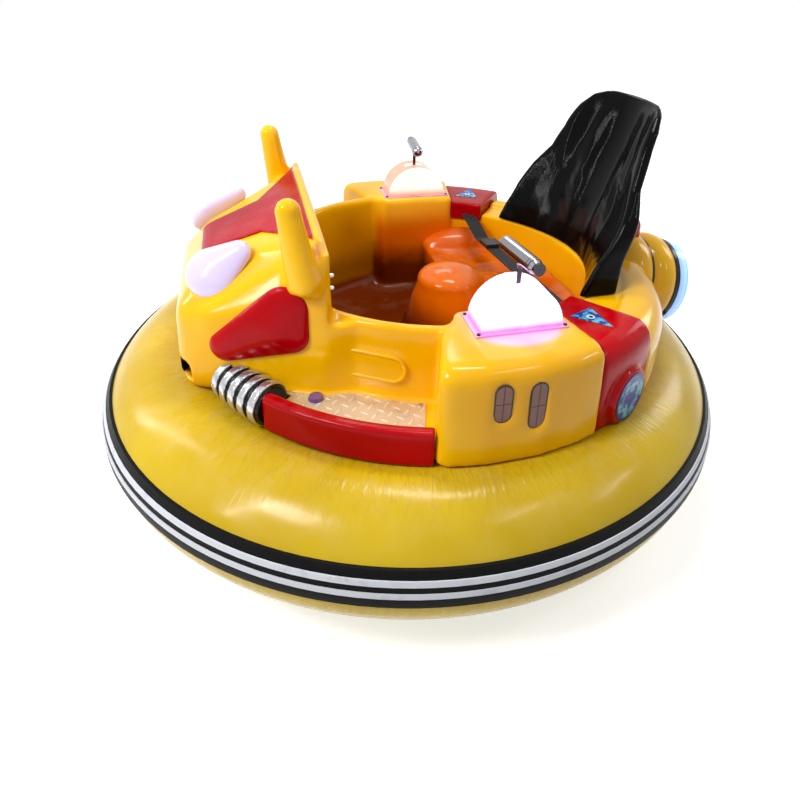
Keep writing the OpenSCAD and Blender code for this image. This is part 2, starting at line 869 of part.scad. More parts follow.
// Flange with its four screw holes, and the trunnion block that carries the lever below the cover
pivot_z = flange_z + 24;
pivot_r = 8;
screw_x = flange_l / 2 - 7;
screw_y = flange_w / 2 - 9;
module lever_flanges() {
    up = pivot_z - flange_z - gap;
    color("plum")
    both() translate([lever_x, -lever_y, flange_z + gap]) {
        difference() {
            translate([-flange_l / 2, -flange_w / 2, 0]) cube([flange_l, flange_w, flange_t]);
            for (i = [-1, 1], j = [-1, 1]) translate([i * screw_x, j * screw_y, -1])
            cylinder(r = 2.5, h = 20, $fn = 24);
        }
        for (i = [-1, 1]) translate([0, i * 18, 0]) {
            translate([-11, -3, flange_t - 1]) cube([22, 6, up - flange_t + 1]);
            translate([0, 3, up]) rotate([90, 0, 0]) cylinder(r = 13, h = 6, $fn = 48);
        }
        translate([0, 21, up]) rotate([90, 0, 0]) cylinder(r = pivot_r, h = 42, $fn = 48);
    }
}

module lever(side) {
    translate([lever_x, side * lever_y, pivot_z]) {
        difference() {
            union() {
                rotate([90, 0, 0]) cylinder(r = pivot_r + 6, h = 20, center = true, $fn = 48);
                cylinder(r = stem_r, h = grip_z - grip_r / 2, $fn = 32);
                translate([0, 0, grip_z - grip_r - 14]) cylinder(r1 = stem_r, r2 = 12, h = 16, $fn = 32);
            }
            rotate([90, 0, 0]) cylinder(r = pivot_r + running, h = 30, center = true, $fn = 48);
        }
        // Bullet-shaped grip across the car, its outer end swept back
        translate([0, 0, grip_z]) rotate([0, 0, -side * 6]) rotate([-side * 90, 0, 0])
        rotate_extrude($fn = 48) intersection() {
            union() {
                translate([0, grip_r - grip_l / 2]) circle(r = grip_r, $fn = 48);
                polygon([[0, grip_r - grip_l / 2], [grip_r, grip_r - grip_l / 2], [grip_r, grip_l / 2 - 30],
                         [grip_r - 6, grip_l / 2 - 14], [grip_r - 4, grip_l / 2 - 14],
                         [grip_r - 4, grip_l / 2 - 5], [0, grip_l / 2 - 5]]);
            }
            translate([0, -grip_l]) square([grip_r + 1, 2 * grip_l]);
        }
    }
}

module lever_left() {
    color("silver") lever(-1);
}

module lever_right() {
    color("silver") lever(1);
}

// Red band over the body, from inside the tub down to the ring
wrap_in = tub_r - 14;
module wrap_room(grow) {
    body() sector(wrap_a0 - 1, wrap_a1)
    translate([wrap_in, rear_rim_z - 30]) square([400, 400]);
}

module wrap() {
    difference() {
        union() {
            body() sector(wrap_a0, wrap_a1 - 0.1)
            union() {
                translate([tub_out + gap, skirt_z]) square([skirt_r - tub_out - 30, wrap_z - 30 - skirt_z]);
                translate([wrap_in, rear_rim_z - 30 + gap]) square([skirt_r - wrap_in - 60, wrap_z - rear_rim_z + 30 - gap]);
                translate([skirt_r - 62, wrap_z - 60]) circle(r = 60, $fn = fine);
                translate([skirt_r - 60, skirt_z]) square([58, wrap_z - 60 - skirt_z]);
            }
            boss(0);
        }
        pod_room(0);
    }
}

boss_a = 118.5;
boss_z = skirt_z + 70;
boss_r = 80;
module boss(grow) {
    body() rotate(180 + boss_a) translate([skirt_r - 40, 0, boss_z]) rotate([0, 90, 0])
    cylinder(r = boss_r + grow, h = 52, $fn = fine);
}

module side_wraps() {
    color("crimson") both() difference() {
        wrap();
        body() translate([0, 0, skirt_z - 200]) cylinder(r = 900, h = 200, $fn = fine);
    }
}

module wrap_badges() {
    color("steelblue")
    both() {
        body() rotate(180 + boss_a) translate([skirt_r + 12 + gap, 0, boss_z]) rotate([0, 90, 0])
        cylinder(r = boss_r - 12, h = 2, $fn = fine);
        body() rotate(180 + boss_a) translate([600, 0, wrap_z + gap]) linear_extrude(1.5)
        polygon([[-48, -34], [-40, 50], [60, 6]]);
    }
}

// Rear shoulder of the body, between the two red bands
module rear_deck() {
    color("gold")
    difference() {
        body() rotate_extrude(angle = 2 * (180 - wrap_a1), start = wrap_a1 - 180, $fn = fine)
        union() {
            translate([tub_out + gap, skirt_z]) square([skirt_r - tub_out, deck_z - 90 - skirt_z]);
            translate([tub_out + gap, skirt_z]) square([back_out - tub_out + 1, rear_rim_z - skirt_z]);
            translate([back_out + gap, deck_z - 91]) square([skirt_r - back_out - 90, 91]);
            translate([skirt_r - 90 + gap, deck_z - 90]) circle(r = 90, $fn = fine);
        }
        bell_room(gap);
    }
}

// The thruster's own axis: x along it, from its lens backwards
module bell_axis() {
    translate([bell_x, 0, bell_z]) rotate([0, bell_tilt, 0]) rotate([0, 90, 0]) children();
}

module bell_room(grow) {
    bell_axis() translate([0, 0, -bell_l - grow]) cylinder(r = bell_r + 20 + grow, h = bell_l + 140, $fn = fine);
}

// Half section of the thruster: a root, two swelling segments and an end ring
module bell_section(grow) {
    translate([0, -bell_l]) square([bell_r - 24, bell_l - 4]);
    intersection() {
        translate([bell_r - 82, -205]) circle(r = 100 + grow, $fn = fine);
        translate([0, -bell_l]) square([300, bell_l]);
    }
    intersection() {
        translate([bell_r - 60, -98]) circle(r = 76 + grow, $fn = fine);
        translate([0, -160]) square([300, 108]);
    }
    translate([0, -46]) square([bell_r + grow, 42]);
}

module thruster_bell() {
    color("gold")
    bell_axis() rotate_extrude($fn = fine)
    difference() {
        bell_section(0);
        translate([bell_r - 8, -160]) square([60, 12 + gap]);
        translate([bell_r - 12, -52]) square([60, 16 + gap]);
    }
}

module thruster_bands() {
    color("black")
    bell_axis() rotate_extrude($fn = fine) {
        translate([bell_r - 8 + gap, -160 + gap]) square([12, 12 - gap]);
        translate([bell_r - 12 + gap, -52 + gap]) square([16, 16 - gap]);
    }
}

module thruster_lens() {
    color("lightcyan")
    bell_axis() intersection() {
        translate([0, 0, -lens_in]) sphere(r = lens_r, $fn = fine);
        translate([0, 0, -4 + gap]) cylinder(r = bell_r - 2, h = 80, $fn = fine);
    }
}

module tail_cap() {
    color("red")
    difference() {
        translate([body_x + 702, 0, 600]) {
            cylinder(r = 50, h = 76, $fn = 48);
            translate([0, 0, 76]) scale([1, 1, 0.9]) sphere(r = 50, $fn = 48);
        }
        bell_axis() rotate_extrude($fn = fine) intersection() {
            bell_section(gap);
            translate([0, -400]) square([400, 500]);
        }
    }
}

// Seat pan moulding that fills the tub's rear half, with a hump at its front
module seat_base() {
    color("orange")
    difference() {
        union() {
            intersection() {
                body() rotate_extrude($fn = fine) {
                    f = tub_fillet;
                    translate([0, floor_z + gap]) square([tub_r - f, pan_z - floor_z]);
                    translate([tub_r - f, floor_z + f]) circle(r = f - gap, $fn = fine);
                    translate([0, floor_z + f]) square([tub_r - gap, pan_z - floor_z - f]);
                }
                translate([body_x, -pod_y + gap, floor_z + gap]) cube([520, 2 * (pod_y - gap), pan_z - floor_z]);
            }
            hull() {
                translate([body_x - 50, 0, hump_z - 60]) sphere(r = 60, $fn = coarse);
                translate([body_x - 95, 0, floor_z + gap]) cylinder(r = 70, h = 40, $fn = 32);
                translate([body_x + 130, 0, pan_z - 40]) sphere(r = 90, $fn = coarse);
                translate([body_x + 80, 0, floor_z + gap]) cylinder(r = 130, h = 40, $fn = 32);
            }
        }
        translate([body_x + 290, 0, pan_z + 560]) sphere(r = 600, $fn = 2 * fine);
    }
}

back_foot_x = body_x + tub_r;
back_out = tub_out + 78;
// Sections of the seat back, given from its foot: z, front and back of the middle, front and back
// of the wing's edge, half width. The top rows share the lean and the height.
back_rows = [
    [rear_rim_z + gap, 0, 66, -143, -18, back_foot_y],
    [668, 16, 74, -112, -14, back_foot_y],
    [740, 38, 84, -72, 0, back_foot_y - 12],
    [820, 66, 104, -22, 34, 0.5 * (back_foot_y + back_top_y) + 20],
    [900, back_lean - 68, back_lean - 34, 44, 78, back_top_y + 34],
    [back_z - 160, back_lean - 38, back_lean - 8, back_lean - 78, back_lean - 42, back_top_y + 12],
    [back_z - 66, back_lean - 12, back_lean + 16, back_lean - 40, back_lean - 8, back_top_y],
    [back_z - 22, back_lean, back_lean + 24, back_lean - 16, back_lean + 8, back_top_y - 22],
    [back_z - 5, back_lean + 4, back_lean + 22, back_lean - 4, back_lean + 12, back_top_y - 58],
    [back_z, back_lean + 8, back_lean + 18, back_lean + 4, back_lean + 12, back_top_y - 84]
];

// A smooth row between two rows of the table
function row_at(t, s) =
    let (n = len(t) - 1, i = min(floor(s), n - 1), f = s - i, a = t[max(i - 1, 0)], b = t[i], c = t[i + 1], d = t[min(i + 2, n)])
    0.5 * (2 * b + (c - a) * f + (2 * a - 5 * b + 4 * c - d) * f * f + (3 * b - a - 3 * c + d) * f * f * f);

// A ridge's rise over the concave front
function ridge(y, z) =
    let (d = (abs(y) - ridge_y) / 46, k = sin(180 * max(0, min(1, (z - rear_rim_z) / (back_z - rear_rim_z)))))
    abs(d) < 1 ? ridge_h * k * pow(cos(90 * d), 2) : 0;

// Points across the back, closer together over the channel and its ridges
back_n = 16;
back_us = [for (k = [0:back_n]) let (t = 2 * k / back_n - 1) t * (0.6 + 0.4 * t * t)];
// Which rows are drawn, counted in the table; a half lies between two of them
back_steps = [0, 1, 2, 2.5, 3, 3.5, 4, 5, 6, 7, 8, 9];
function back_ring(r) =
    let (e = min(13, (r[4] - r[3]) / 2.2), w = r[5] - e)
    concat(
        [for (u = back_us) [r[1] + (r[3] - r[1]) * u * u - ridge(u * w, r[0]), u * w, r[0]]],
        [for (c = [[r[3] + 0.3 * e, 0.7], [r[3] + e, 1], [r[4] - e, 1], [r[4] - 0.3 * e, 0.7]]) [c[0], w + e * c[1], r[0]]],
        [for (k = [back_n:-1:0]) let (u = back_us[k]) [r[2] + (r[4] - r[2]) * u * u, u * w, r[0]]],
        [for (c = [[r[4] - 0.3 * e, 0.7], [r[4] - e, 1], [r[3] + e, 1], [r[3] + 0.3 * e, 0.7]]) [c[0], -w - e * c[1], r[0]]]
    );

// Facets of a flat end: a strip from the front curve to the back curve and a piece at each edge
function back_end(o) =
    let (last = 2 * back_n + 5)
    concat(
        [for (k = [0:back_n - 1]) [o + k, o + k + 1, o + last - k - 1, o + last - k]],
        [[for (j = [back_n:back_n + 5]) o + j]],
        [concat([o], [for (j = [last:last + 4]) o + j])]
    );

// Tall shell with two wings that sweep forwards to its foot, and a channel between two ridges
module seat_back() {
    steps = len(back_steps) - 1;
    rings = [for (i = back_steps) back_ring(row_at(back_rows, i))];
    m = len(rings[0]);
    color("black")
    translate([back_foot_x, 0, 0])
    polyhedron(
        points = [for (r = rings) for (p = r) p],
        faces = concat(
            back_end(0),
            [for (i = [0:steps - 1]) for (j = [0:m - 1]) let (a = i * m + j, b = i * m + (j + 1) % m) each [[a, a + m, b + m], [a, b + m, b]]],
            [for (f = back_end(steps * m)) [for (j = [len(f) - 1:-1:0]) f[j]]]
        )
    );
}

// The belt spans the seat between the inner faces of the two red bands, and sags on its right side
belt_x = body_x + 235;
belt_far = [wrap_in, rear_rim_z + 12];
belt_low = [250, rear_rim_z - 38];
belt_near = [-wrap_in, rear_rim_z + 20];
module seat_belt() {
    color("black")
    intersection() {
        translate([belt_x, 0, 0]) rotate([90, 0, 90]) linear_extrude(belt_w)
        polygon([belt_far, belt_low, belt_near, belt_near - [0, belt_t], belt_low - [0, belt_t + 1],
                 belt_far - [0, belt_t]]);
        body() cylinder(r = wrap_in - gap, h = 2 * rim_z, $fn = fine);
    }
}

// Latch on the belt's long run
module belt_buckle() {
    a = atan2(belt_near[1] - belt_low[1], belt_near[0] - belt_low[0]);
    color("dimgray") translate([belt_x - 4, belt_low[0], belt_low[1]]) rotate([a, 0, 0])
    translate([0, 60, -14 - gap]) cube([belt_w + 8, 70, 14]);
}

bumper_ring();
rub_band();
band_stripes();
chassis_pan();
underglow_strip();
battery_block();
drive_brackets();
drive_hub_left();
drive_hub_right();
drive_tyre_left();
drive_tyre_right();
castor_heads();
castor_fork_front();
castor_fork_rear();
castor_wheel_front();
castor_wheel_rear();
cockpit_tub();
nose_shell();
hood_panel();
headlamps();
cheek_panels();
nose_grilles();
dash_panel();
step_recesses();
step_plates();
step_buttons();
sill_bars();
sill_bellows();
shoulder_pods();
side_windows();
lever_covers();
lever_flanges();
lever_left();
lever_right();
side_wraps();
wrap_badges();
rear_deck();
tail_cap();
seat_base();
seat_back();
seat_belt();
belt_buckle();
thruster_bell();
thruster_bands();
thruster_lens();
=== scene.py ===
import bpy
import math
from mathutils import Vector, Matrix


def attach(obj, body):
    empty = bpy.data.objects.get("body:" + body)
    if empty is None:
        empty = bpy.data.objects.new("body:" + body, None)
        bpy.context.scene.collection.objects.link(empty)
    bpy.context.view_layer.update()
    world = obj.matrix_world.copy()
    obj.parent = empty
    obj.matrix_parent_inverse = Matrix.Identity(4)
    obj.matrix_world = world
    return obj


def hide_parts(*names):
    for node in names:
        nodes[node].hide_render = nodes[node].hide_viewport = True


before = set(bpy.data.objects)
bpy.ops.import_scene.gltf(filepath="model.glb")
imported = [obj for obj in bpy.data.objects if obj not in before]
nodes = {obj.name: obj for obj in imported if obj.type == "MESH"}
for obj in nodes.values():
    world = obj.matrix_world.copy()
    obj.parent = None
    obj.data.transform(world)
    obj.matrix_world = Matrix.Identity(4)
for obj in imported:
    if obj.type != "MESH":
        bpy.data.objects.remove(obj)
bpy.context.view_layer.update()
scene = bpy.context.scene
scene.view_settings.view_transform = "Standard"

# Places that the CAD model gives, in metres. X runs backwards, Y to the right and Z up
RING_X = -0.012174
BODY_X = 0.027826
TUB_R = 0.495
TUB_RIM = 0.655
POD_R = 0.722
NOSE_X = BODY_X - 0.745
DASH_X = BODY_X - 0.390
LEVER_X = BODY_X + 0.065
SEAT_X = BODY_X + 0.060

# Slope of the nose's sides, seen from above
SIDE_SLOPE = math.radians(23)

# Covers of the levers, the top of their flanges and the top of the tread plates
COVER_Y = 0.520
COVER_Z = 0.665
FLANGE_TOP = 0.6640
PLATE_TOP = 0.4450

# Middle line of the hoses: its radius round the body, its height, and the reach of the crests from it
HOSE_R = 0.696
HOSE_Z = 0.450
HOSE_CREST = 0.0540

# Long panel on the tub's outer wall above the step, its angle counted from the front
PILL_LONG = 0.190
PILL_HIGH = 0.084
PILL_R = 0.5345
PILL_Z = 0.5310
PILL_ANGLE = math.radians(57.5)

# Middles of the badges, alike on both sides, and the middle and tilt of the thruster's lens
ROUND_BADGE = (BODY_X + 0.3550, 0.6538, 0.4703)
TOP_BADGE = (BODY_X + 0.2880, 0.5160, 0.6410)
THRUSTER = (RING_X + 0.925, 0, 0.446)
THRUSTER_TILT = math.radians(12)


# ---------- shader nodes ----------

def srgb(r, g, b):
    """A colour written as it looks on a screen, 0 to 255, as the shader wants it."""
    linear = [c / 3294.6 if c <= 10.31 else ((c / 255 + 0.055) / 1.055) ** 2.4 for c in (r, g, b)]
    return (*linear, 1.0)


def plug(tree, node, inputs):
    """Feeds a node's inputs with values or with other nodes' outputs."""
    for key, value in inputs.items():
        if isinstance(value, bpy.types.NodeSocket):
            tree.links.new(value, node.inputs[key])
        else:
            node.inputs[key].default_value = value
    return node


def add_node(tree, kind, inputs=None, **settings):
    node = tree.nodes.new(kind)
    for key, value in settings.items():
        setattr(node, key, value)
    return plug(tree, node, inputs or {})


def calc(tree, operation, a, b=0.0, c=0.0, clamp=False):
    """One step of arithmetic on numbers or sockets."""
    return add_node(tree, "ShaderNodeMath", {0: a, 1: b, 2: c}, operation=operation,
                    use_clamp=clamp).outputs[0]


def plus(tree, a, b, clamp=False):
    return calc(tree, "ADD", a, b, clamp=clamp)


def minus(tree, a, b):
    return calc(tree, "SUBTRACT", a, b)


def times(tree, a, b):
    return calc(tree, "MULTIPLY", a, b)


def larger(tree, a, b):
    return calc(tree, "MAXIMUM", a, b)


def absolute(tree, a):
    return calc(tree, "ABSOLUTE", a)


def diagonal(tree, a, b):
    """Length of the slope over two sides that stand square to each other."""
    return calc(tree, "SQRT", plus(tree, times(tree, a, a), times(tree, b, b)))


def ramp(tree, value, low, high, to_low=0.0, to_high=1.0):
    """A smooth step between two values."""
    return add_node(tree, "ShaderNodeMapRange", {"Value": value, "From Min": low, "From Max": high,
                                                 "To Min": to_low, "To Max": to_high},
                    interpolation_type="SMOOTHSTEP").outputs["Result"]


def noise(tree, vector, scale, detail=2.0, rough=0.5):
    return add_node(tree, "ShaderNodeTexNoise", {"Vector": vector, "Scale": scale, "Detail": detail,
                                                 "Roughness": rough}).outputs["Fac"]


def axes(tree, vector, middle=None):
    """X, Y and Z of a place, counted from a middle."""
    if middle:
        shift = tuple(-c for c in middle)
        vector = add_node(tree, "ShaderNodeMapping", {"Vector": vector, "Location": shift}).outputs[0]
    return add_node(tree, "ShaderNodeSeparateXYZ", {0: vector}).outputs


def surface_normal(tree):
    return axes(tree, add_node(tree, "ShaderNodeNewGeometry").outputs["Normal"])


# ---------- camera, light and floor ----------

def make_camera():
    right = Vector((0.9484526153, -0.3115719404, 0.0579703581))
    up = Vector((0.0781251163, 0.4071360403, 0.9100201706))
    back = Vector((-0.3071385724, -0.8585820699, 0.4104908363))
    bpy.ops.object.camera_add(location=(-0.526873, -1.833380, 1.461692))
    camera = bpy.context.object
    camera.name = "photo_camera"
    camera.rotation_euler = Matrix((right, up, back)).transposed().to_euler()
    camera.data.lens = 29.25
    camera.data.sensor_width = 36
    camera.data.shift_x = -0.0780
    camera.data.shift_y = -0.1719
    camera.data.clip_start = 0.05
    scene.camera = camera


def soft_box(name, place, aim, width, height, watts):
    bpy.ops.object.light_add(type="AREA", location=place)
    lamp = bpy.context.object
    lamp.name = name
    lamp.data.shape = "RECTANGLE"
    lamp.data.size = width
    lamp.data.size_y = height
    lamp.data.energy = watts
    lamp.rotation_euler = (Vector(place) - Vector(aim)).to_track_quat("Z", "Y").to_euler()


def seen_or_mirrored(tree):
    """1 for what the camera sees directly, in a mirror or through glass."""
    ray = add_node(tree, "ShaderNodeLightPath").outputs
    seen = larger(tree, ray["Is Camera Ray"], ray["Is Glossy Ray"])
    return larger(tree, seen, ray["Is Transmission Ray"])


def empty_tree(owner):
    owner.use_nodes = True
    owner.node_tree.nodes.clear()
    return owner.node_tree


def make_world():
    """A white room that lights the car with a softer grey."""
    world = bpy.data.worlds.new("studio_world")
    tree = empty_tree(world)
    room = add_node(tree, "ShaderNodeBackground", {"Color": (0.62, 0.63, 0.66, 1), "Strength": 0.40})
    white = add_node(tree, "ShaderNodeBackground", {"Color": (1, 1, 1, 1), "Strength": 1.0})
    mix = add_node(tree, "ShaderNodeMixShader", {0: seen_or_mirrored(tree), 1: room.outputs[0],
                                                 2: white.outputs[0]})
    add_node(tree, "ShaderNodeOutputWorld", {0: mix.outputs[0]})
    scene.world = world


def make_floor():
    """White paper that takes the car's shadow and fades into the room."""
    bpy.ops.mesh.primitive_plane_add(size=30, location=(0, 0, 0))
    floor = bpy.context.object
    floor.name = "studio_floor"
    mat = bpy.data.materials.new("studio_floor")
    tree = empty_tree(mat)
    paper = add_node(tree, "ShaderNodeBsdfDiffuse", {"Color": (0.8, 0.8, 0.8, 1)})
    place = add_node(tree, "ShaderNodeTexCoord").outputs["Object"]
    far = add_node(tree, "ShaderNodeVectorMath", {0: place}, operation="LENGTH").outputs["Value"]
    white = add_node(tree, "ShaderNodeMapRange", {"Value": far, "From Min": 1.0, "From Max": 3.0,
                                                  "To Min": 0.62, "To Max": 1.0}).outputs["Result"]
    glow = add_node(tree, "ShaderNodeEmission", {"Strength": times(tree, white, seen_or_mirrored(tree))})
    both = add_node(tree, "ShaderNodeAddShader", {0: paper.outputs[0], 1: glow.outputs[0]})
    add_node(tree, "ShaderNodeOutputMaterial", {0: both.outputs[0]})
    floor.data.materials.append(mat)


make_camera()
make_world()
make_floor()

# Lamps: name, place, what it is aimed at, width, height and watts
for lamp in (("key_softbox", (-2.3, -1.2, 3.0), (0, 0, 0.4), 1.0, 0.8, 62),
             ("top_softbox", (0.2, 0.2, 3.4), (0, 0, 0.4), 1.0, 0.45, 34),
             ("rim_softbox", (2.9, 0.4, 1.7), (0.2, 0, 0.5), 0.7, 1.2, 16),
             ("back_softbox", (0.4, 2.6, 3.0), (0.2, 0, 0.5), 1.2, 0.6, 14),
             ("left_strip", (-2.2, -0.9, 2.0), (0.3, 0, 0.8), 0.05, 1.5, 19),
             ("ring_strip_low", (2.4, -1.6, 2.2), (0.2, -0.8, 0.37), 0.9, 0.05, 7),
             ("ring_strip_high", (1.0, -1.85, 3.0), (0.0, -0.85, 0.37), 0.9, 0.05, 7),
             ("front_strip", (-2.3, 0.9, 1.7), (0.3, 0, 0.8), 0.05, 1.5, 12)):
    soft_box(*lamp)


# ---------- shared effects as shader node groups ----------

def new_group(name, values, outputs):
    """A node group that is fed with a place and some values."""
    group = bpy.data.node_groups.new(name, "ShaderNodeTree")
    group.interface.new_socket(name="Vector", in_out="INPUT", socket_type="NodeSocketVector")
    for label, value in values.items():
        socket = group.interface.new_socket(name=label, in_out="INPUT", socket_type="NodeSocketFloat")
        socket.default_value = value
    for label in outputs:
        group.interface.new_socket(name=label, in_out="OUTPUT", socket_type="NodeSocketFloat")
    return group, group.nodes.new("NodeGroupInput").outputs, group.nodes.new("NodeGroupOutput")


def make_moulding_group():
    """Hand-laid gel coat: long waves, orange peel, fine scratches and a film of dust on what faces up."""
    g, given, out = new_group("gel_coat_surface", {"Waves": 0.6, "Peel": 0.06, "Gloss": 0.12, "Dust": 0.25},
                              ("Height", "Roughness", "Dust", "Shade"))
    v = given["Vector"]
    wave = times(g, noise(g, v, 7.0, detail=1.0), given["Waves"])
    peel = times(g, noise(g, v, 260.0, detail=1.0), given["Peel"])
    stretch = add_node(g, "ShaderNodeMapping", {"Vector": v, "Scale": (6.0, 90.0, 30.0),
                                                "Rotation": (0.3, 0.5, 0.9)}).outputs[0]
    scratch = ramp(g, noise(g, stretch, 6.0, detail=3.0), 0.66, 0.72)
    up = ramp(g, surface_normal(g)["Z"], 0.35, 0.95)
    patch = ramp(g, noise(g, v, 11.0, detail=4.0, rough=0.6), 0.42, 0.68)
    dust = times(g, times(g, up, patch), given["Dust"])
    rough = plus(g, given["Gloss"], times(g, scratch, 0.10))
    rough = plus(g, rough, times(g, dust, 0.35), clamp=True)
    plug(g, out, {"Height": plus(g, wave, peel), "Roughness": rough, "Dust": dust,
                  "Shade": noise(g, v, 2.6, detail=2.0)})
    return g


def make_wear_group():
    """Wear on edges and speckles of dirt, for metal, rubber and hard plastic."""
    g, given, out = new_group("edge_wear", {"Amount": 0.5, "Grain": 180.0, "Base": 0.4},
                              ("Wear", "Dirt", "Roughness", "Height"))
    v = given["Vector"]
    sharp = add_node(g, "ShaderNodeNewGeometry").outputs["Pointiness"]
    edge = ramp(g, plus(g, sharp, times(g, noise(g, v, 40.0, detail=3.0), 0.08)), 0.56, 0.62)
    dirt = ramp(g, noise(g, v, 18.0, detail=6.0, rough=0.65), 0.5, 0.75)
    grain = noise(g, v, given["Grain"], detail=2.0)
    rough = plus(g, given["Base"], times(g, minus(g, grain, 0.5), 0.25))
    rough = plus(g, rough, times(g, dirt, 0.15), clamp=True)
    plug(g, out, {"Wear": times(g, edge, given["Amount"]), "Dirt": dirt, "Roughness": rough,
                  "Height": grain})
    return g


def make_crease_group():
    """Creases of inflated vinyl: fine pleats that run outwards from the ring's inner rim, and soft dents."""
    g, given, out = new_group("vinyl_creases", {"Pleats": 1.0}, ("Height", "Crease"))
    at = axes(g, given["Vector"])
    angle = calc(g, "ARCTAN2", at["Y"], at["X"])
    radius = diagonal(g, at["X"], at["Y"])

    def round_ring(rise, *pattern):
        """A pattern that runs round the ring without a seam."""
        turning = {"X": calc(g, "COSINE", angle), "Y": calc(g, "SINE", angle), "Z": rise}
        return noise(g, add_node(g, "ShaderNodeCombineXYZ", turning).outputs[0], *pattern)

    ridge = absolute(g, minus(g, round_ring(times(g, radius, 0.35), 24.0, 3.0, 0.6), 0.5))
    fine = round_ring(times(g, at["Z"], 0.5), 70.0, 2.0, 0.5)
    body_edge, outer_slope, above_band, band = 0.70, 0.93, 0.915, 0.945
    near_body = ramp(g, radius, body_edge, outer_slope, 1.0, 0.0)
    near_band = ramp(g, radius, above_band, band, 0.0, 0.5)
    where = plus(g, near_body, near_band)
    height = times(g, minus(g, 0.5, ridge), times(g, where, given["Pleats"]))
    height = plus(g, height, times(g, times(g, fine, near_band), 0.6))
    dents = noise(g, given["Vector"], 5.0, detail=1.0)
    height = plus(g, height, times(g, dents, 0.5))
    plug(g, out, {"Height": height, "Crease": times(g, ramp(g, ridge, 0.0, 0.03, 1.0, 0.0), where)})
    return g


def make_weave_group():
    """Webbing: ribs along the strap with a crossing weft."""
    g, given, out = new_group("webbing_weave", {"Pitch": 700.0}, ("Height", "Thread"))
    at = axes(g, given["Vector"])
    along = calc(g, "SINE", times(g, at["Y"], given["Pitch"]))
    across = calc(g, "SINE", times(g, at["X"], times(g, given["Pitch"], 1.7)))
    woven = times(g, along, across)
    plug(g, out, {"Height": woven, "Thread": ramp(g, woven, -0.6, 0.8)})
    return g


def make_tread_group():
    """Tread plate: short bars that lie across each other in a chequered order."""
    g, given, out = new_group("tread_plate", {"Pitch": 34.0}, ("Height", "Bar"))
    slanting = 0.785
    past_zero = 500.0
    turn = add_node(g, "ShaderNodeMapping", {"Vector": given["Vector"], "Rotation": (0, 0, slanting)})
    at = axes(g, turn.outputs[0])
    u = plus(g, times(g, at["X"], given["Pitch"]), past_zero)
    v = plus(g, times(g, at["Y"], given["Pitch"]), past_zero)
    cell = calc(g, "MODULO", plus(g, calc(g, "FLOOR", u), calc(g, "FLOOR", v)), 2.0)
    in_u = minus(g, calc(g, "FRACT", u), 0.5)
    in_v = minus(g, calc(g, "FRACT", v), 0.5)

    def bar(along, across):
        long_part = times(g, along, 1.05)
        thin_part = times(g, across, 3.6)
        reach = plus(g, times(g, long_part, long_part), times(g, thin_part, thin_part))
        return ramp(g, reach, 0.12, 0.24, 1.0, 0.0)

    one = times(g, bar(in_u, in_v), cell)
    other = times(g, bar(in_v, in_u), minus(g, 1.0, cell))
    bars = plus(g, one, other, clamp=True)
    plug(g, out, {"Height": bars, "Bar": bars})
    return g


GEL = make_moulding_group()
WEAR = make_wear_group()
CREASE = make_crease_group()
WEAVE = make_weave_group()
TREAD = make_tread_group()


# ---------- materials ----------

def new_material(name, roughness=0.4, metallic=0.0, coat=0.0, coat_roughness=0.05, specular=0.5):
    mat = bpy.data.materials.new(name)
    mat.use_nodes = True
    tree = mat.node_tree
    bsdf = plug(tree, tree.nodes["Principled BSDF"],
                {"Roughness": roughness, "Metallic": metallic, "Coat Weight": coat,
                 "Coat Roughness": coat_roughness, "Specular IOR Level": specular})
    return mat, tree, bsdf, add_node(tree, "ShaderNodeTexCoord").outputs["Object"]


def use_group(tree, group, vector, **values):
    return add_node(tree, "ShaderNodeGroup", {"Vector": vector, **values}, node_tree=group).outputs


def blend_colour(tree, factor, first, second):
    node = add_node(tree, "ShaderNodeMix", data_type="RGBA")
    for key, value in (("Factor", factor), ("A", first), ("B", second)):
        socket = [s for s in node.inputs if s.name == key and s.enabled][0]
        if isinstance(value, bpy.types.NodeSocket):
            tree.links.new(value, socket)
        else:
            socket.default_value = value
    return [s for s in node.outputs if s.enabled][0]


def bump(tree, bsdf, height, distance):
    node = add_node(tree, "ShaderNodeBump", {"Height": height, "Distance": distance, "Strength": 1.0})
    tree.links.new(node.outputs[0], bsdf.inputs["Normal"])


def between(tree, reach, inner_low, inner_high, outer_low, outer_high):
    """1 between two rounds, with soft edges."""
    beyond_inner = ramp(tree, reach, inner_low, inner_high)
    return times(tree, beyond_inner, ramp(tree, reach, outer_low, outer_high, 1.0, 0.0))


def low_in_tub(tree, v):
    """1 on the floor of the foot well, where the painted shade is deepest."""
    at = axes(tree, v, (BODY_X, 0, 0))
    floor_z, unshaded_z = 0.41, 0.53
    patchy = plus(tree, at["Z"], times(tree, noise(tree, v, 14.0, detail=3.0), 0.06))
    low = ramp(tree, patchy, floor_z, unshaded_z, 1.0, 0.0)
    inner = ramp(tree, diagonal(tree, at["X"], at["Y"]), TUB_R - 0.01, TUB_R + 0.01, 1.0, 0.0)
    return times(tree, low, inner)


def inside_tub(tree, v):
    """1 inside the cockpit below its rim, soft at the edge, where the tub's inside gets painted shade."""
    at = axes(tree, v, (BODY_X, 0, 0))
    shade_top_z = 0.52
    inner = ramp(tree, diagonal(tree, at["X"], at["Y"]), TUB_R - 0.03, TUB_R + 0.012, 1.0, 0.0)
    return times(tree, inner, ramp(tree, at["Z"], shade_top_z, TUB_RIM, 1.0, 0.0))


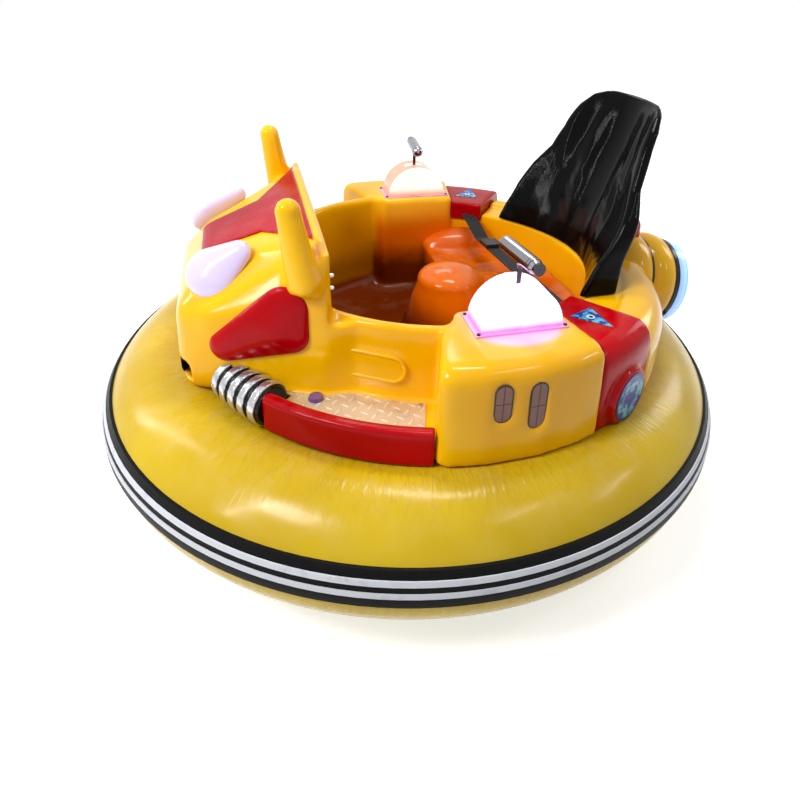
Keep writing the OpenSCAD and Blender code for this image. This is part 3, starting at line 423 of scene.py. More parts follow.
def cover_spill(tree, v, bsdf):
    """Painted light of the two covers on the moulding round them, and a painted reflection of the left cover
    on its pod: pink on the left, warm white on the right.
    """
    flange_long, flange_wide, fade, faint = 0.085, 0.030, 0.12, 0.30
    reflection_x, reflection_y, reflection_long, reflection_wide = LEVER_X - 0.005, 0.565, 0.118, 0.078
    shade_z, pod_top = 0.55, 0.625
    at = axes(tree, v)
    dx = minus(tree, absolute(tree, minus(tree, at["X"], LEVER_X)), flange_long)
    dy = minus(tree, absolute(tree, minus(tree, absolute(tree, at["Y"]), COVER_Y)), flange_wide)
    near = ramp(tree, diagonal(tree, larger(tree, dx, 0.0), larger(tree, dy, 0.0)), 0.0, fade, 1.0, 0.0)
    high = ramp(tree, at["Z"], shade_z, pod_top)
    light = times(tree, times(tree, times(tree, near, near), high), faint)
    # painted reflection of the left cover in the pod's gloss, an oval under its flange
    along = calc(tree, "DIVIDE", minus(tree, at["X"], reflection_x), reflection_long)
    across = calc(tree, "DIVIDE", minus(tree, times(tree, at["Y"], -1.0), reflection_y), reflection_wide)
    patch = times(tree, ramp(tree, diagonal(tree, along, across), 0.70, 1.10, 1.0, 0.0), high)
    hue = blend_colour(tree, ramp(tree, at["Y"], -0.05, 0.05), srgb(240, 70, 235), srgb(255, 150, 80))
    plug(tree, bsdf, {"Emission Color": blend_colour(tree, larger(tree, light, patch), (0, 0, 0, 1), hue),
                      "Emission Strength": 1.3})


def gel_coat(name, colour, deep, gloss=0.09, dust=0.06, coat=0.10, specular=0.16, inside=None, floor_shade=None,
             by_covers=False):
    """Sprayed, polished gel coat, deep where it is thicker; the inside colour is painted shade in the tub
    below its rim, the floor colour deeper painted shade on its floor, and the covers add their painted light.
    """
    mat, tree, bsdf, v = new_material(name, gloss, coat=coat, coat_roughness=0.03, specular=specular)
    s = use_group(tree, GEL, v, Waves=0.6, Gloss=gloss, Dust=dust)
    paint = blend_colour(tree, ramp(tree, s["Shade"], 0.35, 0.65), colour, deep)
    # painted shade: orange inside the tub below its rim
    if inside:
        paint = blend_colour(tree, inside_tub(tree, v), paint, inside)
    # painted shade: deep brown on the tub's floor
    if floor_shade:
        paint = blend_colour(tree, low_in_tub(tree, v), paint, floor_shade)
    # painted light and a painted reflection of the covers
    if by_covers:
        cover_spill(tree, v, bsdf)
    dusty = blend_colour(tree, s["Dust"], paint, srgb(205, 195, 170))
    plug(tree, bsdf, {"Base Color": dusty, "Roughness": s["Roughness"]})
    bump(tree, bsdf, s["Height"], distance=0.004)
    return mat


def hard_part(name, colour, worn, roughness, metallic=0.0, wear=0.5, coat=0.0, depth=0.0004, dirt=None,
              specular=0.5):
    """Moulded plastic, rubber, paint or bare metal with worn edges and a little dirt."""
    mat, tree, bsdf, v = new_material(name, roughness, metallic, coat, specular=specular)
    s = use_group(tree, WEAR, v, Amount=wear, Grain=180.0, Base=roughness)
    paint = blend_colour(tree, s["Dirt"], colour, dirt or tuple(0.75 * c for c in colour[:3]) + (1,))
    plug(tree, bsdf, {"Base Color": blend_colour(tree, s["Wear"], paint, worn),
                      "Roughness": s["Roughness"]})
    bump(tree, bsdf, s["Height"], depth)
    return mat


def vinyl():
    """Matt yellow ring vinyl, with painted shade in its creases."""
    mat, tree, bsdf, v = new_material("ring_vinyl", roughness=0.24, coat=0.05, coat_roughness=0.1,
                                      specular=0.22)
    centred = add_node(tree, "ShaderNodeMapping", {"Vector": v, "Location": (-RING_X, 0, 0)}).outputs[0]
    s = use_group(tree, CREASE, centred, Pleats=1.0)
    g = use_group(tree, GEL, v, Waves=0.3, Gloss=0.22, Dust=0.12, Peel=0.02)
    paint = blend_colour(tree, ramp(tree, g["Shade"], 0.35, 0.65), srgb(208, 175, 26), srgb(194, 160, 14))
    # painted shade: a darker yellow along the creases
    paint = blend_colour(tree, times(tree, s["Crease"], 0.35), paint, srgb(160, 124, 6))
    paint = blend_colour(tree, g["Dust"], paint, srgb(214, 190, 130))
    plug(tree, bsdf, {"Base Color": paint, "Roughness": g["Roughness"]})
    bump(tree, bsdf, plus(tree, s["Height"], times(tree, g["Height"], 0.2)), distance=0.006)
    return mat


def lit_cover(name, middle, edge, strength, wall):
    """A frosted cover lit from inside: white on its flat sides, coloured low down and on its curved wall."""
    mat, tree, bsdf, v = new_material(name, roughness=0.16, coat=0.1, specular=0.3)
    rise = ramp(tree, axes(tree, v)["Z"], COVER_Z - 0.01, COVER_Z + 0.033)
    side = ramp(tree, absolute(tree, surface_normal(tree)["Y"]), 0.35, 0.75, wall, 1.0)
    cloud = times(tree, minus(tree, noise(tree, v, 30.0, detail=2.0), 0.5), 0.2)
    amount = plus(tree, times(tree, rise, side), cloud, clamp=True)
    plug(tree, bsdf, {"Emission Color": blend_colour(tree, amount, edge, middle),
                      "Emission Strength": strength, "Base Color": edge})
    bump(tree, bsdf, noise(tree, v, 400.0), distance=0.0003)
    return mat


def puffy_lens():
    """Milky lavender plastic of the nose's lamps."""
    mat, tree, bsdf, v = new_material("lamp_lens", roughness=0.12, coat=0.3)
    s = use_group(tree, GEL, v, Waves=0.5, Gloss=0.12, Dust=0.1)
    paint = blend_colour(tree, ramp(tree, s["Shade"], 0.3, 0.7), srgb(216, 204, 240), srgb(198, 186, 230))
    plug(tree, bsdf, {"Base Color": paint, "Roughness": s["Roughness"], "Emission Color": paint,
                      "Emission Strength": 0.15})
    bump(tree, bsdf, s["Height"], distance=0.003)
    return mat


def bellows_skin():
    """Gloss black rubber with silver crests."""
    mat, tree, bsdf, v = new_material("bellows_skin", roughness=0.14, specular=0.25)
    w = use_group(tree, WEAR, v, Amount=0.2, Grain=240.0, Base=0.14)
    at = axes(tree, v, (BODY_X, 0, HOSE_Z))
    reach = diagonal(tree, minus(tree, diagonal(tree, at["X"], at["Y"]), HOSE_R), at["Z"])
    crest = ramp(tree, reach, HOSE_CREST - 0.0008, HOSE_CREST + 0.0004)
    plug(tree, bsdf, {"Base Color": blend_colour(tree, crest, srgb(7, 7, 8), srgb(196, 196, 202)),
                      "Metallic": times(tree, crest, 0.8), "Roughness": w["Roughness"]})
    bump(tree, bsdf, w["Height"], distance=0.0003)
    return mat


def webbing():
    """Black woven strap."""
    mat, tree, bsdf, v = new_material("belt_webbing", roughness=0.75, specular=0.2)
    s = use_group(tree, WEAVE, v)
    plug(tree, bsdf, {"Base Color": blend_colour(tree, s["Thread"], srgb(6, 6, 7), srgb(22, 22, 25)),
                      "Sheen Weight": 0.1})
    bump(tree, bsdf, s["Height"], distance=0.0006)
    return mat


def tread_alloy():
    """Bright tread plate with brownish dirt between its bars."""
    mat, tree, bsdf, v = new_material("tread_alloy", roughness=0.35, metallic=0.55)
    s = use_group(tree, TREAD, v)
    w = use_group(tree, WEAR, v, Amount=0.4, Grain=300.0, Base=0.32)
    paint = blend_colour(tree, s["Bar"], srgb(222, 214, 196), srgb(246, 244, 238))
    paint = blend_colour(tree, times(tree, w["Dirt"], 0.5), paint, srgb(150, 132, 92))
    plug(tree, bsdf, {"Base Color": paint, "Roughness": w["Roughness"]})
    bump(tree, bsdf, s["Height"], distance=0.0018)
    return mat


def from_middle(tree, v, place):
    """Distance from a place that lies on the left and on the right side alike."""
    at = axes(tree, v)
    both = add_node(tree, "ShaderNodeCombineXYZ", {"X": at["X"], "Y": absolute(tree, at["Y"]), "Z": at["Z"]})
    far = add_node(tree, "ShaderNodeVectorMath", {0: both.outputs[0], 1: place}, operation="DISTANCE")
    return far.outputs["Value"]


def side_badges():
    """Round badges with a dark rim and a pale ring, and triangular ones with a dot in a ring."""
    mat, tree, bsdf, v = new_material("side_badges", roughness=0.2, coat=0.1, specular=0.2)
    g = use_group(tree, GEL, v, Waves=0.2, Gloss=0.15, Dust=0.1)
    round_reach = from_middle(tree, v, ROUND_BADGE)
    top_reach = from_middle(tree, v, TOP_BADGE)
    cloud = ramp(tree, noise(tree, v, 42.0, detail=4.0, rough=0.65), 0.46, 0.60)
    paint = blend_colour(tree, cloud, srgb(6, 66, 168), srgb(110, 196, 210))
    ring = between(tree, round_reach, 0.034, 0.036, 0.043, 0.045)
    paint = blend_colour(tree, times(tree, ring, 0.4), paint, srgb(150, 200, 214))
    rim = between(tree, round_reach, 0.059, 0.061, 0.080, 0.090)
    paint = blend_colour(tree, rim, paint, srgb(12, 44, 116))
    dot_ring = between(tree, top_reach, 0.006, 0.007, 0.010, 0.0115)
    paint = blend_colour(tree, dot_ring, paint, srgb(214, 240, 232))
    paint = blend_colour(tree, ramp(tree, top_reach, 0.005, 0.006, 1.0, 0.0), paint, srgb(20, 40, 70))
    plug(tree, bsdf, {"Base Color": paint, "Roughness": g["Roughness"]})
    bump(tree, bsdf, g["Height"], distance=0.001)
    return mat


def window_panes():
    """Smoked panes with a dark rim and a cross of thin bars. Angles count from the front."""
    front_pane, between_panes, gap = math.radians(87), math.radians(90.5), math.radians(7)
    pane_z, rear_drop = 0.568, -0.020
    straight_part, rear_longer = 0.029, 0.014
    bar_half, rim_inner, rim_outer = 0.0011, 0.0185, 0.0198
    mat, tree, bsdf, v = new_material("window_panes", roughness=0.25, specular=0.2)
    w = use_group(tree, WEAR, v, Amount=0.2, Grain=220.0, Base=0.22)
    at = axes(tree, v, (BODY_X, 0, 0))
    angle = calc(tree, "ARCTAN2", absolute(tree, at["Y"]), times(tree, at["X"], -1.0))
    rear = calc(tree, "GREATER_THAN", angle, between_panes)
    middle = plus(tree, times(tree, rear, gap), front_pane)
    across = absolute(tree, times(tree, minus(tree, angle, middle), POD_R))
    up = absolute(tree, minus(tree, at["Z"], plus(tree, times(tree, rear, rear_drop), pane_z)))
    straight = plus(tree, times(tree, rear, rear_longer), straight_part)
    reach = diagonal(tree, across, larger(tree, minus(tree, up, straight), 0.0))
    cross = larger(tree, calc(tree, "LESS_THAN", across, bar_half), calc(tree, "LESS_THAN", up, bar_half))
    line = larger(tree, ramp(tree, reach, rim_inner, rim_outer), cross)
    paint = blend_colour(tree, w["Dirt"], srgb(142, 106, 98), srgb(120, 90, 84))
    plug(tree, bsdf, {"Base Color": blend_colour(tree, line, paint, srgb(66, 56, 54)),
                      "Roughness": w["Roughness"]})
    bump(tree, bsdf, minus(tree, 1.0, line), distance=0.0008)
    return mat


def lever_metal():
    """Polished grip with dark grooves and a knurled outer end; the stem below it is black."""
    mat, tree, bsdf, v = new_material("lever_metal", roughness=0.16, metallic=1.0)
    w = use_group(tree, WEAR, v, Amount=0.3, Grain=260.0, Base=0.14)
    outer_groove, inner_groove, knurled, stem_top = 0.588, 0.578, 0.5985, 0.8170
    at = axes(tree, v)
    out = absolute(tree, at["Y"])
    end = ramp(tree, out, knurled, knurled + 0.001)
    groove = larger(tree, calc(tree, "COMPARE", out, outer_groove, 0.0012),
                    calc(tree, "COMPARE", out, inner_groove, 0.0010))
    stem = ramp(tree, at["Z"], stem_top, stem_top + 0.0015, 1.0, 0.0)
    dark = larger(tree, times(tree, larger(tree, end, groove), 0.85), stem)
    paint = blend_colour(tree, w["Dirt"], srgb(150, 148, 158), srgb(120, 118, 126))
    plug(tree, bsdf, {"Base Color": blend_colour(tree, dark, paint, srgb(26, 24, 28)),
                      "Roughness": w["Roughness"], "Metallic": minus(tree, 1.0, stem)})
    cells = add_node(tree, "ShaderNodeTexVoronoi", {"Vector": v, "Scale": 420.0}).outputs["Distance"]
    bump(tree, bsdf, minus(tree, times(tree, cells, end), groove), distance=0.0006)
    return mat


def glow_lens():
    """Lit lens: lavender in its middle, then a pale ring and a cyan edge."""
    mat, tree, bsdf, v = new_material("thruster_glow", roughness=0.12, coat=0.5)
    pale_ring, cyan_edge = 0.104, 0.120
    at = axes(tree, v, THRUSTER)
    high = plus(tree, times(tree, at["X"], math.sin(THRUSTER_TILT)),
                times(tree, at["Z"], math.cos(THRUSTER_TILT)))
    reach = diagonal(tree, high, at["Y"])
    cells = ramp(tree, noise(tree, v, 16.0, detail=2.0), 0.35, 0.7)
    paint = blend_colour(tree, cells, srgb(150, 140, 226), srgb(186, 160, 236))
    paint = blend_colour(tree, ramp(tree, reach, pale_ring, pale_ring + 0.006), paint, srgb(214, 224, 248))
    paint = blend_colour(tree, ramp(tree, reach, cyan_edge, cyan_edge + 0.012), paint, srgb(96, 190, 250))
    plug(tree, bsdf, {"Base Color": paint, "Emission Color": paint, "Emission Strength": 0.9})
    bump(tree, bsdf, noise(tree, v, 200.0), distance=0.0005)
    return mat


def bell_coat():
    """The bell's gel coat; behind its second groove the rim is lit through from the lens."""
    mat, tree, bsdf, v = new_material("bell_gel_coat", roughness=0.09, coat=0.1, specular=0.16)
    s = use_group(tree, GEL, v, Waves=0.4, Gloss=0.09, Dust=0.06)
    groove_end, lip = -0.038, 0.010
    at = axes(tree, v, THRUSTER)
    along = minus(tree, times(tree, at["X"], math.cos(THRUSTER_TILT)),
                  times(tree, at["Z"], math.sin(THRUSTER_TILT)))
    lit = ramp(tree, along, groove_end, groove_end + 0.004)
    paint = blend_colour(tree, ramp(tree, s["Shade"], 0.35, 0.65), srgb(246, 186, 2), srgb(238, 170, 0))
    glow = blend_colour(tree, ramp(tree, along, groove_end + 0.004, lip), srgb(140, 184, 248),
                        srgb(200, 214, 252))
    plug(tree, bsdf, {"Base Color": blend_colour(tree, lit, paint, glow), "Roughness": s["Roughness"],
                      "Emission Color": blend_colour(tree, lit, (0, 0, 0, 1), glow),
                      "Emission Strength": 0.7})
    bump(tree, bsdf, s["Height"], distance=0.004)
    return mat


def under_glow():
    """Green-blue light strip below the ring."""
    mat, tree, bsdf, v = new_material("under_glow", roughness=0.3)
    spots = ramp(tree, noise(tree, v, 60.0, detail=1.0), 0.3, 0.7)
    paint = blend_colour(tree, spots, srgb(70, 235, 200), srgb(120, 255, 225))
    plug(tree, bsdf, {"Emission Color": paint, "Emission Strength": 3.0})
    return mat


# Painted shade in the cockpit: orange on the tub's inside walls below the rim, deep brown on its floor
tub_floor_shade = srgb(120, 44, 2)
yellow_coat = gel_coat("yellow_gel_coat", srgb(248, 190, 2), srgb(240, 174, 0), inside=srgb(226, 106, 0),
                       floor_shade=tub_floor_shade, by_covers=True)
# Painted shade: the seat pan, yellow like the body, is painted a shaded orange
shaded_pan_coat = gel_coat("shaded_pan_gel_coat", srgb(224, 104, 0), srgb(210, 88, 0), dust=0.12, floor_shade=tub_floor_shade)
red_coat = gel_coat("red_gel_coat", srgb(188, 0, 14), srgb(160, 0, 8), dust=0.03, coat=0.0, specular=0.10)
hood_coat = gel_coat("hood_gel_coat", srgb(176, 4, 30), srgb(146, 0, 20), gloss=0.24, dust=0.05, coat=0.0,
                     specular=0.12)
black_coat = gel_coat("black_gel_coat", srgb(7, 6, 8), srgb(3, 3, 5), gloss=0.06, dust=0.0, coat=0.0,
                      specular=0.07)
ring_skin = vinyl()
hose_skin = bellows_skin()
near_cover = lit_cover("near_cover_glow", srgb(255, 236, 252), srgb(176, 24, 150), strength=2.4, wall=0.72)
far_cover = lit_cover("far_cover_glow", srgb(255, 246, 232), srgb(226, 116, 92), strength=1.15, wall=0.15)
pink_flange = hard_part("pink_flange", srgb(214, 150, 205), srgb(235, 190, 230), 0.2, wear=0.4, coat=0.8)
lens_skin = puffy_lens()
belt_weave = webbing()
step_tread = tread_alloy()
badge_print = side_badges()
smoked_pane = window_panes()
grip_metal = lever_metal()
thruster_lens = glow_lens()
bell_skin = bell_coat()
underglow = under_glow()
black_rubber = hard_part("black_rubber", srgb(6, 6, 7), srgb(34, 33, 32), 0.42, wear=0.15, specular=0.10)
grey_stripe = hard_part("grey_stripe", srgb(206, 208, 214), srgb(226, 226, 228), 0.45, wear=0.2, specular=0.3)
tyre_rubber = hard_part("tyre_rubber", srgb(28, 28, 29), srgb(80, 78, 74), 0.8, depth=0.0008,
                        dirt=srgb(70, 62, 52))
grey_tread = hard_part("grey_tread", srgb(96, 96, 98), srgb(140, 138, 132), 0.7)
coated_steel = hard_part("coated_steel", srgb(34, 35, 38), srgb(120, 116, 110), 0.5, metallic=0.3)
zinc_steel = hard_part("zinc_steel", srgb(178, 180, 184), srgb(214, 214, 212), 0.34, metallic=0.95)
cast_alloy = hard_part("cast_alloy", srgb(158, 160, 164), srgb(206, 206, 204), 0.48, metallic=0.9, wear=0.6,
                       depth=0.0008)
black_plastic = hard_part("black_plastic", srgb(12, 12, 13), srgb(50, 50, 52), 0.4, wear=0.3, specular=0.3)
gloss_black = hard_part("gloss_black", srgb(8, 8, 9), srgb(40, 40, 42), 0.16, wear=0.2, specular=0.3)
purple_plastic = hard_part("purple_plastic", srgb(92, 60, 120), srgb(150, 120, 170), 0.2, wear=0.3, coat=0.8)
battery_case = hard_part("battery_case", srgb(40, 42, 46), srgb(90, 90, 92), 0.6, wear=0.4)


# ---------- modelling ------------------

def only(*objects):
    bpy.ops.object.select_all(action="DESELECT")
    for o in objects:
        o.select_set(True)
    bpy.context.view_layer.objects.active = objects[0]


def set_down():
    """Writes the place, turn and size of what is selected into its mesh."""
    bpy.ops.object.transform_apply(location=True, rotation=True, scale=True)


def open_mesh(action="SELECT"):
    """Opens the active mesh with all of it selected, or nothing."""
    bpy.ops.object.mode_set(mode="EDIT")
    bpy.ops.mesh.select_all(action=action)


def close_mesh():
    bpy.ops.object.mode_set(mode="OBJECT")


def normals_outward():
    bpy.ops.mesh.normals_make_consistent(inside=False)


def label(piece, name):
    piece.name = name
    piece.data.name = name


def finish_modifier(o, kind, **values):
    only(o)
    m = o.modifiers.new(kind.title(), kind)
    for key, value in values.items():
        setattr(m, key, value)
    bpy.ops.object.modifier_apply(modifier=m.name)


def melt(piece, voxel):
    finish_modifier(piece, "REMESH", mode="VOXEL", voxel_size=voxel, adaptivity=0.0)


def copy_of(name, *node_names):
    """A merged copy of CAD nodes' meshes, as the start of a piece that replaces them."""
    copies = []
    for n in node_names:
        c = nodes[n].copy()
        c.data = nodes[n].data.copy()
        for key in list(c.keys()):
            del c[key]
        c.parent = None
        c.data.materials.clear()
        scene.collection.objects.link(c)
        copies.append(c)
    only(*copies)
    if len(copies) > 1:
        bpy.ops.object.join()
    piece = bpy.context.view_layer.objects.active
    label(piece, name)
    open_mesh()
    bpy.ops.mesh.remove_doubles(threshold=0.00002)
    normals_outward()
    bpy.ops.mesh.customdata_custom_splitnormals_clear()
    close_mesh()
    return piece


def moulded(name, body, mats, node_names, voxel, smooth, extra=(), front=None, keep=1.0, cutters=()):
    """CAD forms and extra swellings melted into one moulding with rounded edges and filled corners."""
    piece = copy_of(name, *node_names)
    if front is not None:
        open_mesh()
        bpy.ops.mesh.bisect(plane_co=(front, 0, 0), plane_no=(1, 0, 0), use_fill=True, clear_inner=True)
        close_mesh()
    if extra:
        only(piece, *extra)
        bpy.ops.object.join()
    melt(piece, voxel)
    for c in cutters:
        finish_modifier(piece, "BOOLEAN", operation="DIFFERENCE", solver="EXACT", object=c)
        bpy.data.objects.remove(c)
    if cutters:
        melt(piece, voxel)
    finish_modifier(piece, "SMOOTH", factor=0.5, iterations=smooth)
    if keep < 1:
        finish_modifier(piece, "DECIMATE", ratio=keep)
    for m in mats:
        piece.data.materials.append(m)
    only(piece)
    bpy.ops.object.shade_smooth()
    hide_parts(*node_names)
    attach(piece, body)
    return piece


def ball(place, radii, turn=(0, 0, 0)):
    bpy.ops.mesh.primitive_uv_sphere_add(segments=32, ring_count=20, location=place, rotation=turn,
                                         scale=radii)
    set_down()
    return bpy.context.object


def block(place, sides, turn=(0, 0, 0)):
    bpy.ops.mesh.primitive_cube_add(size=1, location=place, rotation=turn, scale=sides)
    set_down()
    return bpy.context.object


def taper(low, high, low_radius, high_radius):
    """A round bar between two places."""
    low, high = Vector(low), Vector(high)
    bpy.ops.mesh.primitive_cone_add(vertices=40, radius1=low_radius, radius2=high_radius,
                                    depth=(high - low).length, location=(low + high) / 2,
                                    rotation=(high - low).to_track_quat("Z", "Y").to_euler())
    set_down()
    return bpy.context.object


def mirrored(forms):
    """The same forms on the other side of the middle plane."""
    more = []
    for o in forms:
        only(o)
        bpy.ops.object.duplicate()
        bpy.ops.transform.mirror(constraint_axis=(False, True, False), center_override=(0, 0, 0))
        set_down()
        open_mesh()
        normals_outward()
        close_mesh()
        more.append(bpy.context.object)
    return more


def drawn_over(forms):
    """One closed skin drawn tight over a few forms."""
    only(*forms)
    bpy.ops.object.join()
    open_mesh()
    bpy.ops.mesh.convex_hull()
    close_mesh()
    return bpy.context.object


def skin_over(name, mat, forms, node_name, smooth):
    """A puffed piece with rolled edges, on both sides of the body; it replaces a CAD node."""
    piece = drawn_over(forms)
    melt(piece, 0.003)
    finish_modifier(piece, "SMOOTH", factor=0.5, iterations=smooth)
    only(piece, *mirrored([piece]))
    bpy.ops.object.join()
    label(piece, name)
    piece.data.materials.append(mat)
    only(piece)
    bpy.ops.object.shade_smooth()
    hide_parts(node_name)
    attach(piece, "car_body")


def make_ring():
    """Ring: the CAD section spun again with even steps, so the gloss runs clean round it."""
    ring = copy_of("ring_tube", "bumper_ring")
    open_mesh()
    bpy.ops.mesh.bisect(plane_co=(0, 0, 0), plane_no=(0, 1, 0), clear_inner=True, clear_outer=True)
    bpy.ops.mesh.select_all(action="SELECT")
    bpy.ops.mesh.remove_doubles(threshold=0.0004)
    bpy.ops.mesh.select_mode(type="VERT")
    bpy.ops.mesh.select_all(action="DESELECT")
    close_mesh()
    for v in ring.data.vertices:
        v.select = v.co.x > RING_X
    bpy.ops.object.mode_set(mode="EDIT")
    bpy.ops.mesh.delete(type="VERT")
    bpy.ops.mesh.select_all(action="SELECT")
    bpy.ops.mesh.spin(steps=240, angle=math.tau, center=(RING_X, 0, 0), axis=(0, 0, 1))
    bpy.ops.mesh.select_all(action="SELECT")
    bpy.ops.mesh.remove_doubles(threshold=0.0002)
    normals_outward()
    close_mesh()
    bpy.ops.object.shade_smooth_by_angle(angle=math.radians(30))
    ring.data.materials.append(ring_skin)
    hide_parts("bumper_ring")
    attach(ring, "car_body")


def ear_roots():
    """Swellings that carry each ear down the nose's rear corner, and the dash's square upper corner."""
    foot = (DASH_X - 0.043, -0.394, 0.748)
    neck = (DASH_X - 0.072, -0.379, 0.900)
    foot_radius, neck_radius = 0.036, 0.031
    return [ball(foot, (foot_radius, 0.038, 0.040)), taper(foot, neck, foot_radius, neck_radius),
            ball(neck, (neck_radius, neck_radius, neck_radius)),
            block((DASH_X + 0.002, -0.345, 0.755), (0.022, 0.112, 0.150))]


def nose_fillets():
    """Fillings of the corners where the nose's sides meet the tub's outer wall."""
    low, high, radius = 0.452, 0.640, 0.012
    return [drawn_over([taper((BODY_X + x, y, low), (BODY_X + x, y, high), radius, radius)
                        for x, y in ((-0.400, -0.404), (-0.400, -0.360), (-0.318, -0.412))])]


def seat_swellings():
    """The broad pommel between the driver's knees and the raised sides of the seat."""
    forms = [taper((BODY_X + 0.085, 0, 0.302), (SEAT_X, 0, 0.535), 0.205, 0.105),
             ball((SEAT_X, 0, 0.530), (0.108, 0.108, 0.048)),
             taper((SEAT_X, 0, 0.470), (BODY_X + 0.230, 0, 0.400), 0.090, 0.130)]
    side = ball((BODY_X + 0.270, -0.420, 0.470), (0.190, 0.075, 0.068))
    return forms + [side] + mirrored([side])


def lamp_lenses():
    """Egg-shaped lamps on the nose's bevelled corners: a broad round low end and a narrower upper one."""
    across = Vector((-0.848, 0.530, 0))
    down = Vector((-0.265, -0.424, -0.866))
    out = Vector((-0.459, -0.734, 0.500))
    turn = Matrix((across, down, out)).transposed().to_euler()
    middle = Vector((NOSE_X + 0.107, -0.222, 0.730))
    low_end = ball(middle + across * 0.018 + down * 0.014, (0.070, 0.066, 0.029), turn)
    high_end = ball(middle - across * 0.046 - down * 0.048, (0.034, 0.034, 0.022), turn)
    skin_over("lamp_lenses", lens_skin, [low_end, high_end], "headlamps", smooth=6)


def nose_side():
    """The front corner of the nose's left side, then the directions along it, up and out of it."""
    along = Vector((math.cos(SIDE_SLOPE), -math.sin(SIDE_SLOPE), 0))
    out = Vector((-math.sin(SIDE_SLOPE), -math.cos(SIDE_SLOPE), 0))
    return Vector((NOSE_X + 0.083, -0.300, 0)), along, Vector((0, 0, 1)), out


def cheek_mouldings():
    """Puffed triangles with round corners on the nose's sides, their rims rolled."""
    corner, along, up, out = nose_side()
    turn = Matrix((along, up, out)).transposed().to_euler()
    corner = corner + out * 0.001
    forms = [ball(corner + along * a + up * z, (r, r, 0.022), turn)
             for a, z, r in ((0.032, 0.556, 0.044), (0.190, 0.680, 0.060), (0.196, 0.606, 0.054))]
    forms.append(ball(corner + along * 0.150 + up * 0.622, (0.085, 0.066, 0.034), turn))
    skin_over("cheek_mouldings", red_coat, forms, "cheek_panels", smooth=16)


def ear_foot_cutters():
    """Blocks that take off what stands out of the nose's sides below the ears' feet."""
    corner, along, up, out = nose_side()
    middle = corner + up * 0.640 + along * 0.255 + out * 0.042
    cutter = block(middle, (0.110, 0.080, 0.170), (0, 0, -SIDE_SLOPE))
    return [cutter] + mirrored([cutter])


def swell(value, middle, half):
    """1 at the middle, falling smoothly to 0 at the half width from it."""
    return max(0.0, 1 - ((value - middle) / half) ** 2) ** 2


def shape_back(piece):
    """The broad head of the seat back: wider, its sides curled forwards, its top a little lower."""
    curl, widen, lower = 0.045, 0.22, 0.012
    for v in piece.data.vertices:
        head = swell(v.co.z, 0.95, 0.28)
        crown = swell(v.co.z, 1.13, 0.16)
        rim = swell(v.co.z, 1.02, 0.24) * min(1.0, abs(v.co.y) / 0.17) ** 2
        v.co = Vector((v.co.x - curl * rim, v.co.y * (1 + widen * head), v.co.z - lower * crown))


def paint_faces(piece, index, test):
    """Gives the faces whose middle passes the test another of the piece's materials."""
    for face in piece.data.polygons:
        if test(face.center):
            face.material_index = index


make_ring()
roots = ear_roots() + nose_fillets()
moulded("body_moulding", "car_body", [yellow_coat],
        ["cockpit_tub", "nose_shell", "dash_panel", "step_recesses", "shoulder_pods", "rear_deck"],
        voxel=0.007, smooth=12, extra=roots + mirrored(roots), keep=0.5, cutters=ear_foot_cutters())
moulded("hood_moulding", "car_body", [hood_coat], ["hood_panel"], voxel=0.004, smooth=10)
cheek_mouldings()
lamp_lenses()
moulded("sill_rails", "car_body", [red_coat], ["sill_bars"], voxel=0.004, smooth=8)
moulded("wrap_bands", "car_body", [red_coat], ["side_wraps"], voxel=0.006, smooth=5)
moulded("seat_pan", "car_body", [shaded_pan_coat], ["seat_base"], voxel=0.007, smooth=14, extra=seat_swellings(),
        front=BODY_X + 0.090)
shape_back(moulded("seat_shell", "car_body", [black_coat], ["seat_back"], voxel=0.005, smooth=6))
moulded("sill_hose", "car_body", [hose_skin], ["sill_bellows"], voxel=0.003, smooth=3)
covers = moulded("lever_domes", "car_body", [near_cover, far_cover], ["lever_covers"], voxel=0.003, smooth=4)
paint_faces(covers, 1, lambda middle: middle.y > 0)


# ---------- small pieces ----------

def small_piece(name, body_name, mat, parts):
    """Modelled parts joined into one finished piece: doubles merged, normals outward, shaded smooth."""
    only(*parts)
    if len(parts) > 1:
        bpy.ops.object.join()
    piece = bpy.context.view_layer.objects.active
    label(piece, name)
    only(piece)
    set_down()
    open_mesh()
    bpy.ops.mesh.remove_doubles(threshold=0.00001)
    normals_outward()
    close_mesh()
    bpy.ops.object.shade_smooth_by_angle(angle=math.radians(40))
    piece.data.materials.append(mat)
    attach(piece, body_name)


def pan_head(place, radius, height, turn=(0, 0, 0)):
    """A screw head with a rounded top."""
    bpy.ops.mesh.primitive_cylinder_add(vertices=14, radius=radius, depth=height, location=place,
                                        rotation=turn)
    head = bpy.context.object
    open_mesh("DESELECT")
    close_mesh()
    max(head.data.polygons, key=lambda f: f.center.z).select = True
    bpy.ops.object.mode_set(mode="EDIT")
    bpy.ops.mesh.select_mode(type="FACE")
    bpy.ops.mesh.bevel(offset=0.45 * height, segments=2, affect="EDGES")
    close_mesh()
    return head


def on_body(angle, radius, z, side):
    """A place on the round body: its angle counted from the front, on the left (-1) or right (1)."""
    a = math.radians(angle)
    return (BODY_X - radius * math.cos(a), side * radius * math.sin(a), z)


def pill_rim():
    """The raised bead round the long panel on the tub's left wall, bent to the wall."""
    bead_radius = 0.0055
    bpy.ops.mesh.primitive_torus_add(major_segments=72, minor_segments=10, major_radius=PILL_HIGH / 2 - 0.006,
                                     minor_radius=bead_radius)
    rim = bpy.context.object
    straight = (PILL_LONG - PILL_HIGH) / 2
    for v in rim.data.vertices:
        along = v.co.x + math.copysign(straight, v.co.x)
        a = PILL_ANGLE + along / PILL_R
        radius = PILL_R + v.co.z
        v.co = Vector((BODY_X - radius * math.cos(a), -radius * math.sin(a), PILL_Z + v.co.y))
    return rim


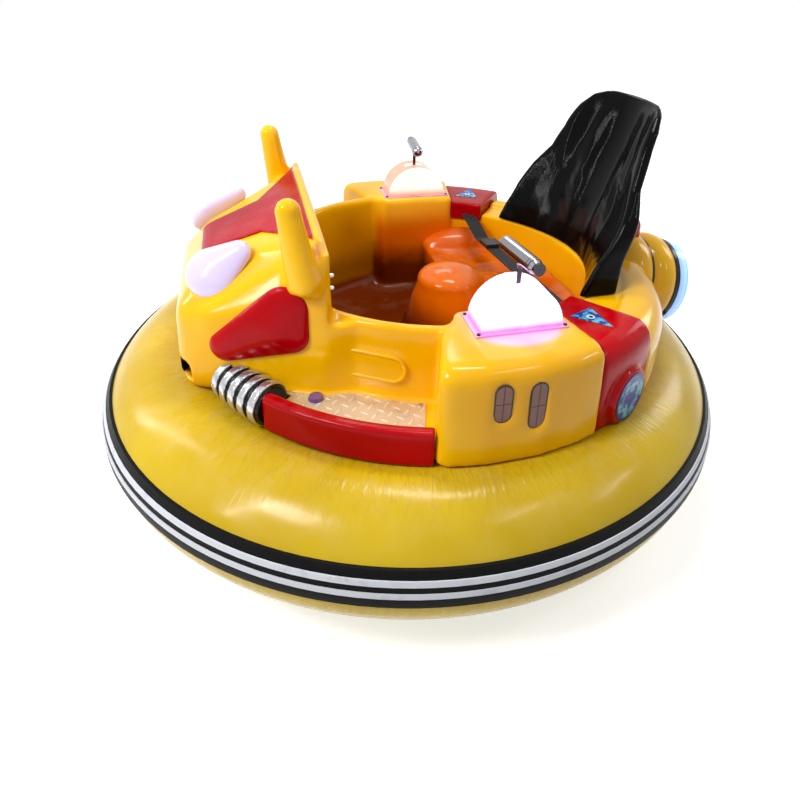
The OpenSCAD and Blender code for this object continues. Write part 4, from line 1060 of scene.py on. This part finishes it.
# Screws of the tread plates and of the lever flanges
small_piece("step_screws", "car_body", zinc_steel,
            [pan_head(on_body(a, r, PLATE_TOP, side), radius=0.0062, height=0.003)
             for a in (46, 71.5) for r in (0.553, 0.676) for side in (-1, 1)])
small_piece("flange_screws", "car_body", black_plastic,
            [pan_head((LEVER_X + along, side * COVER_Y + across, FLANGE_TOP), radius=0.0050, height=0.003)
             for along in (-0.116, 0.116) for across in (-0.053, 0.053) for side in (-1, 1)])

bead = pill_rim()
small_piece("pill_rims", "car_body", yellow_coat, [bead] + mirrored([bead]))

# Slot in the panel before the driver: a red lip round a black mouth, which is painted shade for the slot's
# dark depth, and the panel's bolts
small_piece("dash_lip", "car_body", red_coat,
            [ball((DASH_X + 0.0140, 0, 0.718), (0.0050, 0.205, 0.027))])
small_piece("dash_slot_shade", "car_body", gloss_black,
            [ball((DASH_X + 0.0150, 0, 0.713), (0.0056, 0.190, 0.018))])
small_piece("dash_bolts", "car_body", zinc_steel,
            [pan_head((DASH_X + 0.0185, y, z), radius=0.0055, height=0.010, turn=(0, math.pi / 2, 0))
             for y in (-0.384, 0.384) for z in (0.729, 0.763)])

# Pieces that keep their CAD form, by what they are made of
for finish, names in ((black_rubber, ("rub_band",)),
                      (grey_stripe, ("band_stripes",)),
                      (coated_steel, ("chassis_pan", "drive_brackets")),
                      (underglow, ("underglow_strip",)),
                      (battery_case, ("battery_block",)),
                      (cast_alloy, ("drive_hub_left", "drive_hub_right")),
                      (tyre_rubber, ("drive_tyre_left", "drive_tyre_right")),
                      (grip_metal, ("lever_left", "lever_right")),
                      (zinc_steel, ("castor_heads", "castor_fork_front", "castor_fork_rear")),
                      (grey_tread, ("castor_wheel_front", "castor_wheel_rear")),
                      (black_plastic, ("nose_grilles", "belt_buckle")),
                      (step_tread, ("step_plates",)),
                      (purple_plastic, ("step_buttons",)),
                      (smoked_pane, ("side_windows",)),
                      (pink_flange, ("lever_flanges",)),
                      (badge_print, ("wrap_badges",)),
                      (red_coat, ("tail_cap",)),
                      (belt_weave, ("seat_belt",)),
                      (bell_skin, ("thruster_bell",)),
                      (gloss_black, ("thruster_bands",)),
                      (thruster_lens, ("thruster_lens",))):
    for name in names:
        piece = nodes[name]
        if not piece.data.materials:
            piece.data.materials.append(finish)
        for slot in piece.material_slots:
            slot.material = finish
